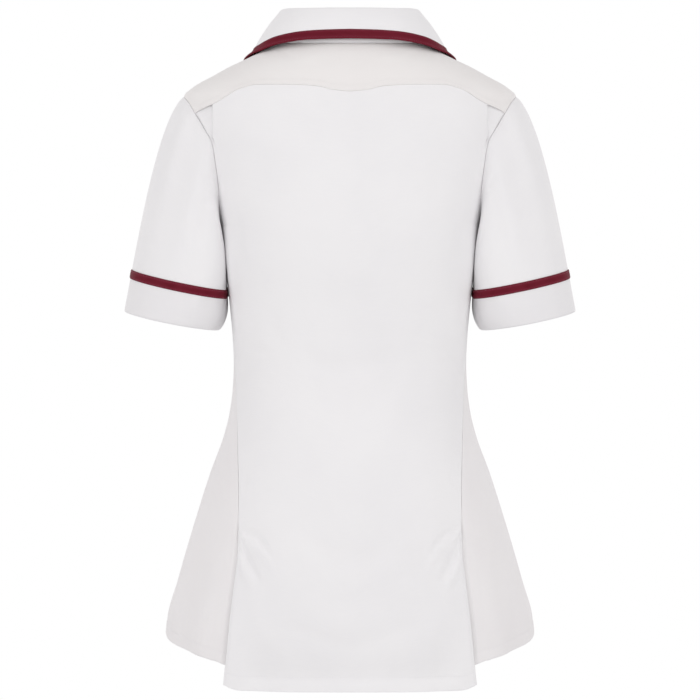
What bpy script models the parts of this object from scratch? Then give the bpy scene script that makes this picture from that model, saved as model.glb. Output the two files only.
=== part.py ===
"""Women's short-sleeved medical tunic, hollow and in the shape that it is worn in.

The origin is the middle of the neck opening, level with the tops of the shoulders.
+Z is up, the fronts face -Y and the wearer's left is +X.
Sizes are in millimetres. The meshes are made in metres.
"""

import math

import bmesh
import bpy
import numpy as np

MM = 0.001

# Cloth and seams
CLOTH = 1.8
TAPE = 1.0
SEAM_GAP = 0.3
HALF_SEAM = SEAM_GAP / 2
FACET_GAP = 0.15

# Heights, measured down from the shoulder's neck point
SHOULDER_TIP_DOWN = 63.5
UNDERARM_DOWN = 215.0
SIDE_SEAM_STRAIGHT_DOWN = 401.0
VENT_TOP_DOWN = 567.0
BACK_HEM_DOWN = 741.5
HEM_CORNER_RISE = 9.0
HEM_CORNER_DEG = (60, 48)

# Bust shaping of the fronts
BUST_DOWN = 240.0
BUST_APART = 84.0
BUST_RISE = 17.0
BUST_WIDTH = 62.0
BUST_ABOVE = 74.0
BUST_BELOW = 48.0

# Action pleat of the back
PLEAT_OUT = 157.0
PLEAT_DEPTH = 4.6
PLEAT_END_DOWN = 111.0
PLEAT_CLOSE = 20.0

# Front opening
OVERLAP = 13.0
UNDER_STEP = 2.4

# Side vents
UNDERLAP_DEG = 13.0
VENT_DIP_DEG = 5.5
SEAM_END_DEG = 0.9
VENT_STEP = 3.8
VENT_EASE = 4.5
VENT_EASE_DEG = (80, 30)

# Where the edge of a front changes, from and to, below the top of the vent
VENT_EDGE_NARROWS = (-160, -30)
VENT_STEPS_IN = (-40, 34)
VENT_EDGE_OPENS = (-1, 20)
VENT_UNDERLAP_GROWS = (-1, 50)

# The panels stop this far short of the armhole and side seams
SEAM_INSET_DEG = 0.3
SIDE_INSET_DEG = 0.1
YOKE_INSET_DEG = 0.3
NECK_INSET = 0.6

# Sleeve
TRIM_WIDTH = 10.0
CUFF_DEPTH = 39.0
HEM_CENTRE = np.array([206.8, -6.0, -322.6])
HEM_HALF_WIDTH = 56.4
HEM_HALF_DEPTH = 56.0
HEM_TAPER_OUTER = 0.0
HEM_TAPER_INNER = 0.62
CAP_REACH = 0.455
HEM_REACH = 0.82
ARM_OUT_DEG = 11.5
ARM_FORWARD_DEG = 4.8
SLEEVE_CLEAR = 1.6
SLEEVE_PUSH = 1.1
SLEEVE_START = 0.008
SLEEVE_FREE_DOWN = (UNDERARM_DOWN - 70, UNDERARM_DOWN + 12)

# Behind the underarm the sleeve lies in against the body. It rises over the first two
# places round the sleeve and down it, and fades over the last two.
SLEEVE_HUG = 7.6
HUG_TURNS = (88, 130, 140, 175)
HUG_SHARES = (0.03, 0.42, 0.45, 0.79)

# Collar
COLLAR_CLEAR = 2.4
COLLAR_END_TURN = 178.6
COLLAR_BELLY = 3.0
ROLL_RADIUS = 2.6
SHOULDER_SLOPE = 2.1

# Buttons
BUTTON_COUNT = 5
BUTTON_RADIUS = 8.5
BUTTON_THICK = 3.2
BUTTON_FIRST_DOWN = 118.0
BUTTON_LAST_DOWN = 452.0

WHITE = (0.83, 0.82, 0.83)
MAROON = (0.13, 0.015, 0.027)


def table(names, rows):
    """Name the columns of a short table."""
    columns = zip(*rows)
    return {name: np.array(column, float) for name, column in zip(names.split(), columns)}


# The body of the tunic as level sections: half width, depth to the front and to the
# back of the line through the shoulders, and how square the section is (2 is an ellipse).
TORSO = table("down half_width front back square", [
    (0, 80, 22, 54, 2.2),
    (10, 100, 33, 62, 2.2),
    (21, 122, 43, 69, 2.2),
    (30, 141, 50, 74, 2.2),
    (40, 159, 57, 79, 2.2),
    (53, 182, 64, 84, 2.2),
    (63.5, 192.5, 70, 88, 2.2),
    (80, 193, 77, 93, 2.25),
    (100, 186, 85, 97, 2.3),
    (125, 177, 94, 101, 2.4),
    (155, 167, 103, 104, 2.5),
    (185, 158, 111, 106, 2.5),
    (215, 150.5, 117, 105.5, 2.5),
    (250, 146.6, 120, 102, 2.5),
    (289, 141.2, 116, 95, 2.45),
    (318, 138, 112, 90, 2.4),
    (345, 135.8, 108, 86, 2.35),
    (372, 134.6, 105, 84, 2.3),
    (401, 135.9, 105, 85, 2.25),
    (429, 139.5, 107, 89, 2.2),
    (457, 146.5, 110, 95, 2.2),
    (498, 161.5, 114, 104, 2.2),
    (540, 175, 118, 111, 2.2),
    (582, 187.8, 121, 116, 2.15),
    (624, 199.8, 123, 118, 2.15),
    (666, 211.5, 125, 118, 2.15),
    (700, 214, 126, 116, 2.15),
    (745, 214, 126, 112, 2.15),
])

# Armhole seam, once round from the shoulder tip by way of the back. Theta is the angle
# on the body's section, from the wearer's left towards the back. The sleeve leaves the
# seam in the direction given by out, back and up.
ARMHOLE = table("turn theta down out back up", [
    (0, 0, 63.5, 0.80, 0.0, -0.60),
    (25, 13, 69, 0.80, 0.10, -0.60),
    (48, 23.5, 85, 0.74, 0.24, -0.64),
    (64, 26.5, 101, 0.62, 0.34, -0.70),
    (82, 30.5, 121, 0.50, 0.40, -0.78),
    (104, 28, 148, 0.40, 0.38, -0.84),
    (128, 22.5, 180, 0.34, 0.28, -0.90),
    (154, 12, 205, 0.20, 0.12, -0.97),
    (180, 0, 215, 0.10, 0.0, -0.99),
    (206, -13, 207, 0.20, -0.10, -0.97),
    (232, -25, 186, 0.36, -0.22, -0.90),
    (256, -31.5, 158, 0.40, -0.30, -0.86),
    (280, -33, 130, 0.50, -0.34, -0.80),
    (302, -29, 105, 0.62, -0.32, -0.72),
    (322, -20, 84, 0.74, -0.22, -0.64),
    (340, -11, 71, 0.80, -0.10, -0.60),
    (360, 0, 63.5, 0.80, 0.0, -0.60),
])
ARMHOLE_YOKE_BACK = 48
ARMHOLE_YOKE_FRONT = 332

# Neckline from the middle of the back to the middle of the front.
NECKLINE = table("turn theta down", [
    (0, 90, 7),
    (30, 61, 6),
    (60, 30, 3),
    (90, 0, 0),
    (104, -18, 3.5),
    (116, -36, 10),
    (128, -50, 20),
    (144, -67, 40),
    (158, -77.5, 60),
    (170, -84.5, 80),
    (180, -90, 96),
])
NECK_AT_YOKE_FRONT = 104
NECK_AT_YOKE_CORNER = 54

# Lower edge of the back yoke, from the middle of the back to the armhole.
YOKE_SEAM = table("share theta down", [
    (0.0, 90, 63.3),
    (0.14, 85.0, 61.0),
    (0.26, 80.7, 57.2),
    (0.45, 70, 54.8),
    (0.66, 57, 54.2),
    (0.76, 50.6, 59),
    (0.88, 40.5, 73),
    (1.0, 23.5, 85),
])

# Where the back panel's edge lies below the underarm: how far out from the middle.
SIDE_SEAM = table("down out", [
    (330, 137.5),
    (401, 131.2),
    (460, 128.5),
    (520, 126.5),
    (567, 126.0),
    (610, 129.5),
    (651, 134.5),
    (685, 138.0),
    (715, 140.5),
    (745, 143.0),
])

# Lower edge of the fronts, from the middle round to the vent.
FRONT_HEM = table("theta down", [
    (-90, 716),
    (-60, 713),
    (-30, 701),
    (-8, 686),
    (2, 682.5),
    (18, 691.5),
    (35, 705.3),
    (52, 715.5),
    (70, 718),
])

# Largest folds: lengthways ripples that open towards the hem. Depth is in or out (+).
FOLDS = table("theta top down width depth", [
    (24, 480, 700, 8, -4.5),
    (40, 520, 700, 6, 3.0),
    (-24, 480, 700, 9, -4.0),
    (-40, 500, 700, 7, -3.5),
    (-58, 520, 700, 9, 3.5),
    (60, 600, 740, 7, -3.0),
    (73, 590, 740, 7, 2.5),
])

# Collar sections from the middle of the back to the middle of the front. The fold lies
# lean outside and stand above the neck seam. The leaf's edge is given by its place.
COLLAR = table("turn lean stand across back down", [
    (0, -6, 40, 0, 68, 1.8),
    (25, -6, 39.5, 44, 65, 2.6),
    (50, -5, 38.5, 82, 49, 6.5),
    (72, -3.5, 36, 105.5, 24, 13.0),
    (90, -2, 32, 114.5, 0, 16.5),
    (104, 0, 28, 113, -24, 26),
    (116, 2, 24, 108, -45, 44),
    (128, 3, 20, 99, -61, 66),
    (144, 3, 15, 85, -77, 92),
    (160, 2, 10, 62, -90, 118),
    (180, 1, 6, 34, -100, 142),
])
COLLAR_TRIM_WIDTH = 9.5

# The collar's rolled fold, in roll radii outwards and up from the top of its stand.
FOLD_ROLL = table("out up", [
    (0.0, -1.0),
    (0.45, -0.1),
    (1.9, -0.9),
])


def smooth_curve(places, values):
    """A smooth curve through a table's rows that doesn't overshoot them."""
    x = np.asarray(places, float)
    y = np.asarray(values, float)
    step = np.diff(x)
    rise = np.diff(y) / step
    slope = np.zeros(len(x))
    slope[0] = rise[0]
    slope[-1] = rise[-1]
    same = rise[:-1] * rise[1:] > 0
    before = 2 * step[1:] + step[:-1]
    after = step[1:] + 2 * step[:-1]
    near = np.where(same, rise[:-1], 1.0)
    far = np.where(same, rise[1:], 1.0)
    slope[1:-1] = np.where(same, (before + after) / (before / near + after / far), 0.0)

    def value(at):
        at = np.clip(np.asarray(at, float), x[0], x[-1])
        i = np.clip(np.searchsorted(x, at, side="right") - 1, 0, len(step) - 1)
        t = (at - x[i]) / step[i]
        start = (1 + 2 * t) * (1 - t) ** 2 * y[i] + t * (1 - t) ** 2 * step[i] * slope[i]
        end = t * t * (3 - 2 * t) * y[i + 1] + t * t * (t - 1) * step[i] * slope[i + 1]
        return start + end

    return value


def loop_curve(turns, values):
    """A smooth closed curve through rows that go once round, from 0 to 360 degrees."""
    turns = np.concatenate([turns[-4:-1] - 360, turns, turns[1:4] + 360])
    values = np.concatenate([values[-4:-1], values, values[1:4]])
    open_curve = smooth_curve(turns, values)
    return lambda at: open_curve(np.mod(at, 360))


def smooth_step(low, high, at):
    """0 below low, 1 above high, and an even ease between them."""
    t = np.clip((np.asarray(at, float) - low) / (high - low), 0, 1)
    return t * t * (3 - 2 * t)


def rise_and_fall(places, at):
    """0, then 1 between the middle two of four places, and 0 again after the last."""
    return smooth_step(places[0], places[1], at) * (1 - smooth_step(places[2], places[3], at))


def unit(vectors):
    """Vectors of length one."""
    return vectors / np.linalg.norm(vectors, axis=-1, keepdims=True)


SECTION = {name: smooth_curve(TORSO["down"], TORSO[name])
           for name in ("half_width", "front", "back", "square")}
SEAM = {name: loop_curve(ARMHOLE["turn"], ARMHOLE[name])
        for name in ("theta", "down", "out", "back", "up")}
NECK = {name: smooth_curve(NECKLINE["turn"], NECKLINE[name]) for name in ("theta", "down")}
YOKE = {name: smooth_curve(YOKE_SEAM["share"], YOKE_SEAM[name]) for name in ("theta", "down")}
COLLAR_CUT = {name: smooth_curve(COLLAR["turn"], COLLAR[name])
              for name in ("lean", "stand", "across", "back", "down")}
side_seam_out = smooth_curve(SIDE_SEAM["down"], SIDE_SEAM["out"])
front_hem_down = smooth_curve(FRONT_HEM["theta"], FRONT_HEM["down"])


def bust(across, down):
    """How far the bust shaping stands in front of the section."""
    reach = np.where(down < BUST_DOWN, BUST_ABOVE, BUST_BELOW)
    sideways = np.exp(-((np.abs(across) - BUST_APART) / BUST_WIDTH) ** 2)
    return BUST_RISE * sideways * np.exp(-((down - BUST_DOWN) / reach) ** 2)


def fold_depth(theta, down):
    """How far the lengthways folds stand out of the section."""
    depth = np.zeros(np.broadcast(theta, down).shape)
    for at, top, low, width, size in zip(*FOLDS.values()):
        depth = depth + (size * smooth_step(top, low, down)
                         * np.exp(-((np.abs(theta - 90) - abs(at - 90)) / width) ** 2))
    return depth


def section_point(theta, down):
    """A point of the body's surface."""
    theta = np.asarray(theta, float)
    down = np.asarray(down, float)
    angle = np.radians(theta)
    power = 2 / SECTION["square"](down)
    across = SECTION["half_width"](down) * np.sign(np.cos(angle)) * np.abs(np.cos(angle)) ** power
    behind = np.sin(angle) >= 0
    depth = np.where(behind, SECTION["back"](down), SECTION["front"](down))
    along = depth * np.sign(np.sin(angle)) * np.abs(np.sin(angle)) ** power
    along = along - np.where(behind, 0.0, bust(across, down) * np.abs(np.sin(angle)))
    scale = 1 + fold_depth(theta, down) / np.hypot(across, along)
    down = np.broadcast_to(down, across.shape)
    return np.stack([across * scale, along * scale, -down], axis=-1)


def body_normal(theta, down):
    """The direction straight out of the body's surface."""
    turn = section_point(theta + 0.4, down) - section_point(theta - 0.4, down)
    drop = section_point(theta, down + 0.5) - section_point(theta, down - 0.5)
    return unit(np.cross(drop, turn))


def body(theta, down, out=0.0):
    """Points on the body's surface, moved straight out by some millimetres."""
    return section_point(theta, down) + np.asarray(out)[..., None] * body_normal(theta, down)


def theta_at(across, down, side):
    """The angle on the section of a point this far from the middle; side is 1 at the back."""
    share = np.clip(np.abs(across) / SECTION["half_width"](down), 0, 1)
    return side * np.degrees(np.arccos(share ** (SECTION["square"](down) / 2)))


def side_theta(down):
    """The angle of the back panel's edge below the underarm."""
    below = theta_at(side_seam_out(down), down, 1)
    return below * smooth_step(UNDERARM_DOWN, SIDE_SEAM_STRAIGHT_DOWN, down)


def armhole_theta(down, side):
    """The angle of the armhole seam at a height, on the back or on the front."""
    turns = np.linspace(0, 180, 61) if side > 0 else np.linspace(360, 180, 61)
    return np.interp(down, SEAM["down"](turns), SEAM["theta"](turns))


def mirrored(points, normals):
    """The same grid on the wearer's other side."""
    flip = np.array([-1, 1, 1])
    return points[:, ::-1] * flip, normals[:, ::-1] * flip


# Solids from grids of points

def material(name, colour, roughness=0.8):
    """A plain finish for one piece."""
    finish = bpy.data.materials.new(name)
    finish.use_nodes = True
    shader = finish.node_tree.nodes["Principled BSDF"]
    shader.inputs["Base Color"].default_value = (*colour, 1)
    shader.inputs["Roughness"].default_value = roughness
    shader.inputs["Metallic"].default_value = 0.0
    finish.diffuse_color = (*colour, 1)
    return finish


def flat_blank(rows, columns):
    """A flat closed plate whose corners hold their column, row and layer as x, y and z."""
    blank = bmesh.new()
    bmesh.ops.create_grid(blank, x_segments=columns - 1, y_segments=rows - 1, size=1)
    for corner in blank.verts:
        corner.co.x = (corner.co.x + 1) / 2 * (columns - 1)
        corner.co.y = (corner.co.y + 1) / 2 * (rows - 1)
    doubled = bmesh.ops.extrude_face_region(blank, geom=blank.faces[:])
    for item in doubled["geom"]:
        if isinstance(item, bmesh.types.BMVert):
            item.co.z = 1
    cells = {corner: np.rint(corner.co[:]).astype(int) for corner in blank.verts}
    return blank, {corner: (row, column, layer) for corner, (column, row, layer) in cells.items()}


def round_blank(rows, columns):
    """A closed ring-shaped wall, with the row, column and layer of each corner."""
    blank = bmesh.new()
    profile = [blank.verts.new((2, 0, row)) for row in range(rows)]
    profile += [blank.verts.new((1, 0, row)) for row in reversed(range(rows))]
    edges = [blank.edges.new((profile[i], profile[i - 1])) for i in range(len(profile))]
    bmesh.ops.spin(blank, geom=profile + edges, cent=(0, 0, 0), axis=(0, 0, 1),
                   angle=2 * math.pi, steps=columns, use_merge=True)
    cells = {}
    for corner in blank.verts:
        turn = math.atan2(corner.co.y, corner.co.x) / (2 * math.pi) * columns
        layer = 0 if math.hypot(corner.co.x, corner.co.y) > 1.5 else 1
        cells[corner] = (round(corner.co.z), round(turn) % columns, layer)
    return blank, cells


def cloth_piece(name, outer, normals, colour, thickness=CLOTH, ring=False):
    """A wall of cloth from its outer points and the directions straight out of them."""
    rows, columns = outer.shape[:2]
    blank, cells = round_blank(rows, columns) if ring else flat_blank(rows, columns)
    inner = outer - thickness * normals
    for corner, (row, column, layer) in cells.items():
        corner.co = (inner if layer else outer)[row, column] * MM
    bmesh.ops.recalc_face_normals(blank, faces=blank.faces[:])
    if blank.calc_volume(signed=True) < 0:
        bmesh.ops.reverse_faces(blank, faces=blank.faces[:])
    return add_object(name, blank, colour)


def add_object(name, shape, colour, roughness=0.8):
    """Put a finished bmesh in the scene under its own name and finish."""
    mesh = bpy.data.meshes.new(name)
    shape.to_mesh(mesh)
    shape.free()
    mesh.materials.append(material(name + "_finish", colour, roughness))
    mesh.shade_smooth()
    mesh.set_sharp_from_angle(angle=math.radians(50))
    piece = bpy.data.objects.new(name, mesh)
    bpy.context.collection.objects.link(piece)
    return piece


def grid_normals(points, ring=False):
    """Directions straight out of a grid whose rows go down and columns go round."""
    if ring:
        wrapped = np.concatenate([points[:, -1:], points, points[:, :1]], axis=1)
        turn = wrapped[:, 2:] - wrapped[:, :-2]
    else:
        turn = np.gradient(points, axis=1)
    drop = np.gradient(points, axis=0)
    return unit(np.cross(drop, turn))


# Back and fronts

# Below the underarm both rows of panels have corners at the same heights.
SIDE_LEVELS = (UNDERARM_DOWN, 240, 270, 300, 335, 370, SIDE_SEAM_STRAIGHT_DOWN, 430, 465,
               500, 535, VENT_TOP_DOWN, 582, 600, 625, 650, 675)
BACK_LEVELS = (125, 150, 175, 198) + SIDE_LEVELS + (700, 722, BACK_HEM_DOWN)
FRONT_LEVELS = (140, 165, 188, 204) + SIDE_LEVELS
BACK_COLUMNS = (0.0, 0.11, 0.22, 0.33, 0.45, 0.57, 0.69, 0.80, 0.90)
BACK_TOP_ROWS = 3
PLEAT_STEP_DEG = 0.7
PLEAT_MERGE_DEG = 2.2
ARMHOLE_CLOSE_DOWN = 200.0
UNDERARM_SPREAD_DEG = 17.0


def panel_edge(down, side):
    """The angle at which a panel ends, at the armhole or the side seam; side is 1 for the back."""
    if down < UNDERARM_DOWN:
        return armhole_theta(down, side) + side * SEAM_INSET_DEG
    return side_theta(down) + side * SIDE_INSET_DEG


def underarm_spread(down):
    """How far the columns stay back from the edge where it runs out under the arm."""
    return (UNDERARM_SPREAD_DEG * smooth_step(ARMHOLE_CLOSE_DOWN, UNDERARM_DOWN, down)
            * (1 - smooth_step(UNDERARM_DOWN, SIDE_SEAM_STRAIGHT_DOWN, down)))


def panel_level(row, top_rows, levels):
    """How far a row has left the panel's top edge, and the level that it heads for."""
    return min(row / top_rows, 1.0), levels[min(max(row - top_rows, 0), len(levels) - 1)]


def back_half():
    """The wearer's left half of the back, from the middle out to the armhole and side seam."""
    flat_columns = np.array(BACK_COLUMNS)
    seam_share = np.linspace(0, 1, 201)
    seam_across = section_point(YOKE["theta"](seam_share), YOKE["down"](seam_share))[:, 0]
    fold_share = np.interp(PLEAT_OUT, seam_across, seam_share)
    shares = np.append(flat_columns * fold_share, [fold_share, fold_share, 1.0])
    top_down = YOKE["down"](shares) + HALF_SEAM
    top_across = section_point(YOKE["theta"](shares), top_down)[:-3, 0]
    rows = BACK_TOP_ROWS + len(BACK_LEVELS)
    theta = np.zeros((rows, len(shares)))
    down = np.zeros_like(theta)
    for row in range(rows):
        share, level = panel_level(row, BACK_TOP_ROWS, BACK_LEVELS)
        down[row] = top_down * (1 - share) + level * share
        edge = panel_edge(down[row, -1], 1)
        least = edge + PLEAT_MERGE_DEG + underarm_spread(down[row, -1])
        fold = max(theta_at(PLEAT_OUT, down[row, -2], 1), least)
        level_across = section_point(90 - (90 - fold) * flat_columns, down[row, :-3])[:, 0]
        mixed = top_across * (1 - share) + level_across * share
        theta[row, :-3] = theta_at(mixed, down[row, :-3], 1)
        theta[row, -3:] = (fold, fold - PLEAT_STEP_DEG, edge)
    theta[0, -1] = YOKE["theta"](1.0) + SEAM_INSET_DEG
    out = np.zeros_like(theta)
    pleat = PLEAT_DEPTH * (1 - smooth_step(PLEAT_END_DOWN, PLEAT_END_DOWN + PLEAT_CLOSE, down))
    out[:, -2] = -pleat[:, -2]
    out[:, -1] = -pleat[:, -1] / 4
    ease = VENT_EASE * smooth_step(VENT_TOP_DOWN, BACK_HEM_DOWN, down)
    out = out + ease * smooth_step(*VENT_EASE_DEG, theta)
    down[-1] -= HEM_CORNER_RISE * smooth_step(*HEM_CORNER_DEG, theta[-1]) ** 3
    return body(theta, down, out), body_normal(theta, down)


def make_back():
    left, left_normals = back_half()
    right, right_normals = mirrored(left, left_normals)
    points = np.concatenate([right, left[:, 1:]], axis=1)
    normals = np.concatenate([right_normals, left_normals[:, 1:]], axis=1)
    cloth_piece("back", points, normals, WHITE)


# Back yoke, over both shoulders

YOKE_ROW_SHARES = np.linspace(0.012, 0.995, 6)
YOKE_ARM_COLUMNS = 8
YOKE_SEAM_SHARES = (0.9, 0.8, 0.72, 0.62, 0.48, 0.36, 0.26, 0.17, 0.08, 0.0)


def make_back_yoke():
    arm_turns = np.linspace(ARMHOLE_YOKE_FRONT - 360, ARMHOLE_YOKE_BACK, YOKE_ARM_COLUMNS)
    seam_shares = np.array(YOKE_SEAM_SHARES)
    outer_theta = np.append(SEAM["theta"](arm_turns), YOKE["theta"](seam_shares))
    outer_down = np.append(SEAM["down"](arm_turns), YOKE["down"](seam_shares) - HALF_SEAM)
    neck_arm = np.linspace(NECK_AT_YOKE_FRONT, NECK_AT_YOKE_CORNER, YOKE_ARM_COLUMNS)
    neck_turns = np.append(neck_arm, NECK_AT_YOKE_CORNER * seam_shares)
    inner_theta = NECK["theta"](neck_turns)
    inner_down = NECK["down"](neck_turns)
    share = YOKE_ROW_SHARES[:, None]
    theta = inner_theta * (1 - share) + outer_theta * share
    down = inner_down * (1 - share) + outer_down * share
    left = body(theta, down)
    left_normals = body_normal(theta, down)
    left, left_normals = left[:, ::-1], left_normals[:, ::-1]
    right, right_normals = mirrored(left, left_normals)
    points = np.concatenate([right, left[:, 1:]], axis=1)
    normals = np.concatenate([right_normals, left_normals[:, 1:]], axis=1)
    cloth_piece("back_yoke", points, normals, WHITE)


# Fronts

FRONT_TOP_ROWS = 5
FRONT_NECK_TURNS = (180.0, 173.5, 165.0, 150.0, 135.0, 119.0)
FRONT_COLUMNS = (0.0, 0.045, 0.10, 0.19, 0.29, 0.40, 0.51, 0.62, 0.73, 0.83, 0.92, 1.0)


def front_top():
    """Angle and height of the top edge of a front, from the middle out to the armhole."""
    tip = (SEAM["theta"](ARMHOLE_YOKE_FRONT), SEAM["down"](ARMHOLE_YOKE_FRONT))
    edges = []
    for curve, end in zip((NECK["theta"], NECK["down"]), tip):
        along_yoke = curve(NECK_AT_YOKE_FRONT) * (1 - YOKE_ROW_SHARES) + end * YOKE_ROW_SHARES
        edges.append(np.append(curve(FRONT_NECK_TURNS), along_yoke))
    off_yoke = np.append(np.zeros(len(FRONT_NECK_TURNS)), YOKE_INSET_DEG * np.ones(len(YOKE_ROW_SHARES)))
    return edges[0] - off_yoke, edges[1] + NECK_INSET


def front_grid():
    """Angles and heights of the wearer's left front, from the middle out to the seams."""
    top_theta, top_down = front_top()
    top_share = section_point(top_theta, top_down)[:, 0]
    top_share = top_share / top_share[-1]
    columns = np.array(FRONT_COLUMNS)
    rows = FRONT_TOP_ROWS + len(FRONT_LEVELS) + 1
    theta = np.zeros((rows, len(columns)))
    down = np.zeros_like(theta)
    for row in range(rows):
        share, level = panel_level(row, FRONT_TOP_ROWS, FRONT_LEVELS)
        down[row] = top_down * (1 - share) + level * share
        if row == rows - 1:
            down[row] = front_hem_down(-90 + (90 + side_theta(level)) * columns)
        edge = panel_edge(down[row, -1], -1)
        theta[row] = -90 + (90 + edge - underarm_spread(down[row, -1])) * columns
        theta[row, -1] = edge
        if share < 1:
            across = section_point(theta[row], down[row])[:, 0]
            mixed = top_share * across[-1] * (1 - share) + across * share
            theta[row, :-1] = theta_at(mixed, down[row], -1)[:-1]
    theta[0] = top_theta
    theta[0, -1] -= SEAM_INSET_DEG
    return theta, down


def near_vent(span, down):
    """An even ease between two heights that are counted from the top of the vent."""
    return smooth_step(VENT_TOP_DOWN + span[0], VENT_TOP_DOWN + span[1], down)


def front_half(under_step):
    """The wearer's left front, with the part at the middle set in by under_step."""
    theta, down = front_grid()
    edge = theta[:, -1].copy()
    side_down = down[:, -1]
    near_edge = near_vent(VENT_EDGE_NARROWS, side_down)
    theta[:, -2] = theta[:, -2] * (1 - near_edge) + (edge - VENT_DIP_DEG) * near_edge
    open_below = near_vent(VENT_EDGE_OPENS, side_down)
    under = UNDERLAP_DEG * near_vent(VENT_UNDERLAP_GROWS, side_down)
    past_middle = [-180 - theta_at(reach, down[:, 0], -1) for reach in (OVERLAP, OVERLAP * 0.4)]
    theta = np.column_stack(past_middle + [theta[:, :-1], edge - SEAM_END_DEG * (1 - open_below),
                                           edge + under])
    down = np.column_stack([down[:, 0], down[:, 0], down, side_down])
    out = np.zeros_like(theta)
    out[:, :4] = -under_step
    out[:, -2:] = -VENT_STEP * near_vent(VENT_STEPS_IN, down[:, -2:])
    return body(theta, down, out), body_normal(theta, down)


def make_fronts():
    left, left_normals = front_half(UNDER_STEP)
    cloth_piece("front_left", left, left_normals, WHITE)
    right, right_normals = mirrored(*front_half(0.0))
    cloth_piece("front_right", right, right_normals, WHITE)


# Sleeves

SLEEVE_COLUMNS = 28
SLEEVE_ROWS = 10


def arm_axes():
    """The sleeve's direction down the arm, and the sideways and backward ones across it."""
    out = math.radians(ARM_OUT_DEG)
    forward = math.radians(ARM_FORWARD_DEG)
    along = unit(np.array([math.tan(out), -math.tan(forward), -1.0]))
    outward = unit(np.array([1.0, 0, 0]) - along[0] * along)
    return along, outward, np.cross(outward, along)


def keep_off_body(points):
    """Move sleeve points outwards until, below the underarm, they are clear of the body."""
    down = -points[..., 2]
    width = SECTION["half_width"](down)
    depth = np.where(points[..., 1] > 0, SECTION["back"](down), SECTION["front"](down))
    power = SECTION["square"](down)
    share = np.clip(np.abs(points[..., 1]) / depth, 0, 1)
    side = width * (1 - share ** power) ** (1 / power)
    below = smooth_step(*SLEEVE_FREE_DOWN, down)
    least = side * below + SLEEVE_CLEAR
    gap = points[..., 0] - least
    moved = points.copy()
    moved[..., 0] = least + (gap + np.hypot(gap, 2 * SLEEVE_PUSH)) / 2
    return moved


def sleeve_points(turns, share):
    """Points of the left sleeve: share 0 is the armhole seam and 1 the hem."""
    turns = np.asarray(turns, float)
    share = np.asarray(share, float)
    start = section_point(SEAM["theta"](turns), SEAM["down"](turns))
    lead = unit(np.stack([SEAM["out"](turns), SEAM["back"](turns), SEAM["up"](turns)], axis=-1))
    along, outward, backward = arm_axes()
    angle = np.radians(turns)
    hem = (HEM_CENTRE + HEM_HALF_WIDTH * np.cos(angle)[..., None] * outward
           + HEM_HALF_DEPTH * np.sin(angle)[..., None] * backward)
    length = np.linalg.norm(hem - start, axis=-1)[..., None]
    t = share[..., None]
    inner = (0.5 - 0.5 * np.cos(angle))[..., None] ** 2
    taper = HEM_TAPER_OUTER * (1 - inner) + HEM_TAPER_INNER * inner
    inward = -taper * (np.cos(angle)[..., None] * outward + np.sin(angle)[..., None] * backward)
    p = ((1 + 2 * t) * (1 - t) ** 2 * start + t * (1 - t) ** 2 * CAP_REACH * length * lead
         + t * t * (3 - 2 * t) * hem + t * t * (t - 1) * HEM_REACH * length * (along + inward))
    hug = SLEEVE_HUG * rise_and_fall(HUG_TURNS, turns) * rise_and_fall(HUG_SHARES, share)
    return keep_off_body(p - hug[..., None] * np.array([1.0, 0, 0]))


def sleeve_share(turns, above_hem):
    """Where on each sleeve line a ring at this distance above the hem lies."""
    turns = np.asarray(turns, float)
    shares = np.linspace(0, 1, 61)
    line = sleeve_points(turns[:, None] + 0 * shares, np.broadcast_to(shares, (len(turns), 61)))
    along = arm_axes()[0]
    hem = (line[:, -1] @ along)[:, None]
    height = hem - line @ along
    return np.array([np.interp(-above_hem, -h, shares) for h in height])


def sleeve_rings(turns, heights):
    """Rings of the sleeve's surface at distances above the hem, and the directions out."""
    share = np.array([sleeve_share(turns, height) for height in heights])
    points = sleeve_points(turns + 0 * share, share)
    before = sleeve_points(turns - 1 + 0 * share, share)
    after = sleeve_points(turns + 1 + 0 * share, share)
    above = sleeve_points(turns + 0 * share, share - 0.02)
    return points, unit(np.cross(before - after, points - above))


def make_sleeves():
    turns = np.linspace(0, 360, SLEEVE_COLUMNS, endpoint=False)
    trim_top = CUFF_DEPTH + TRIM_WIDTH
    seam = CUFF_DEPTH + TRIM_WIDTH / 2
    below_seam = seam - HALF_SEAM
    to_trim = sleeve_share(turns, trim_top)
    steps = np.linspace(0, 1, SLEEVE_ROWS) ** 1.15
    share = [SLEEVE_START + (to_trim - SLEEVE_START) * step for step in steps]
    share = np.array(share + [sleeve_share(turns, seam + HALF_SEAM)])
    sleeve = sleeve_points(np.broadcast_to(turns, share.shape), share)
    normals = grid_normals(sleeve, ring=True)
    cuff, cuff_out = sleeve_rings(turns, (below_seam, below_seam / 2, 0))
    trim, trim_out = sleeve_rings(turns, (trim_top, seam, CUFF_DEPTH))
    trim = trim + trim_out * (TAPE + SEAM_GAP + FACET_GAP)
    for side, flip in (("left", 1), ("right", -1)):
        mirror = np.array([flip, 1, 1])
        cloth_piece("sleeve_" + side, sleeve * mirror, normals * mirror, WHITE, ring=True)
        cloth_piece("cuff_" + side, cuff * mirror, cuff_out * mirror, WHITE, ring=True)
        cloth_piece("sleeve_trim_" + side, trim * mirror, trim_out * mirror, MAROON, TAPE, ring=True)


# Collar

COLLAR_HALF_COLUMNS = 19
LEAF_ROW = 4
LEAF_SHARES = (0.3, 0.65, 1.0)


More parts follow.
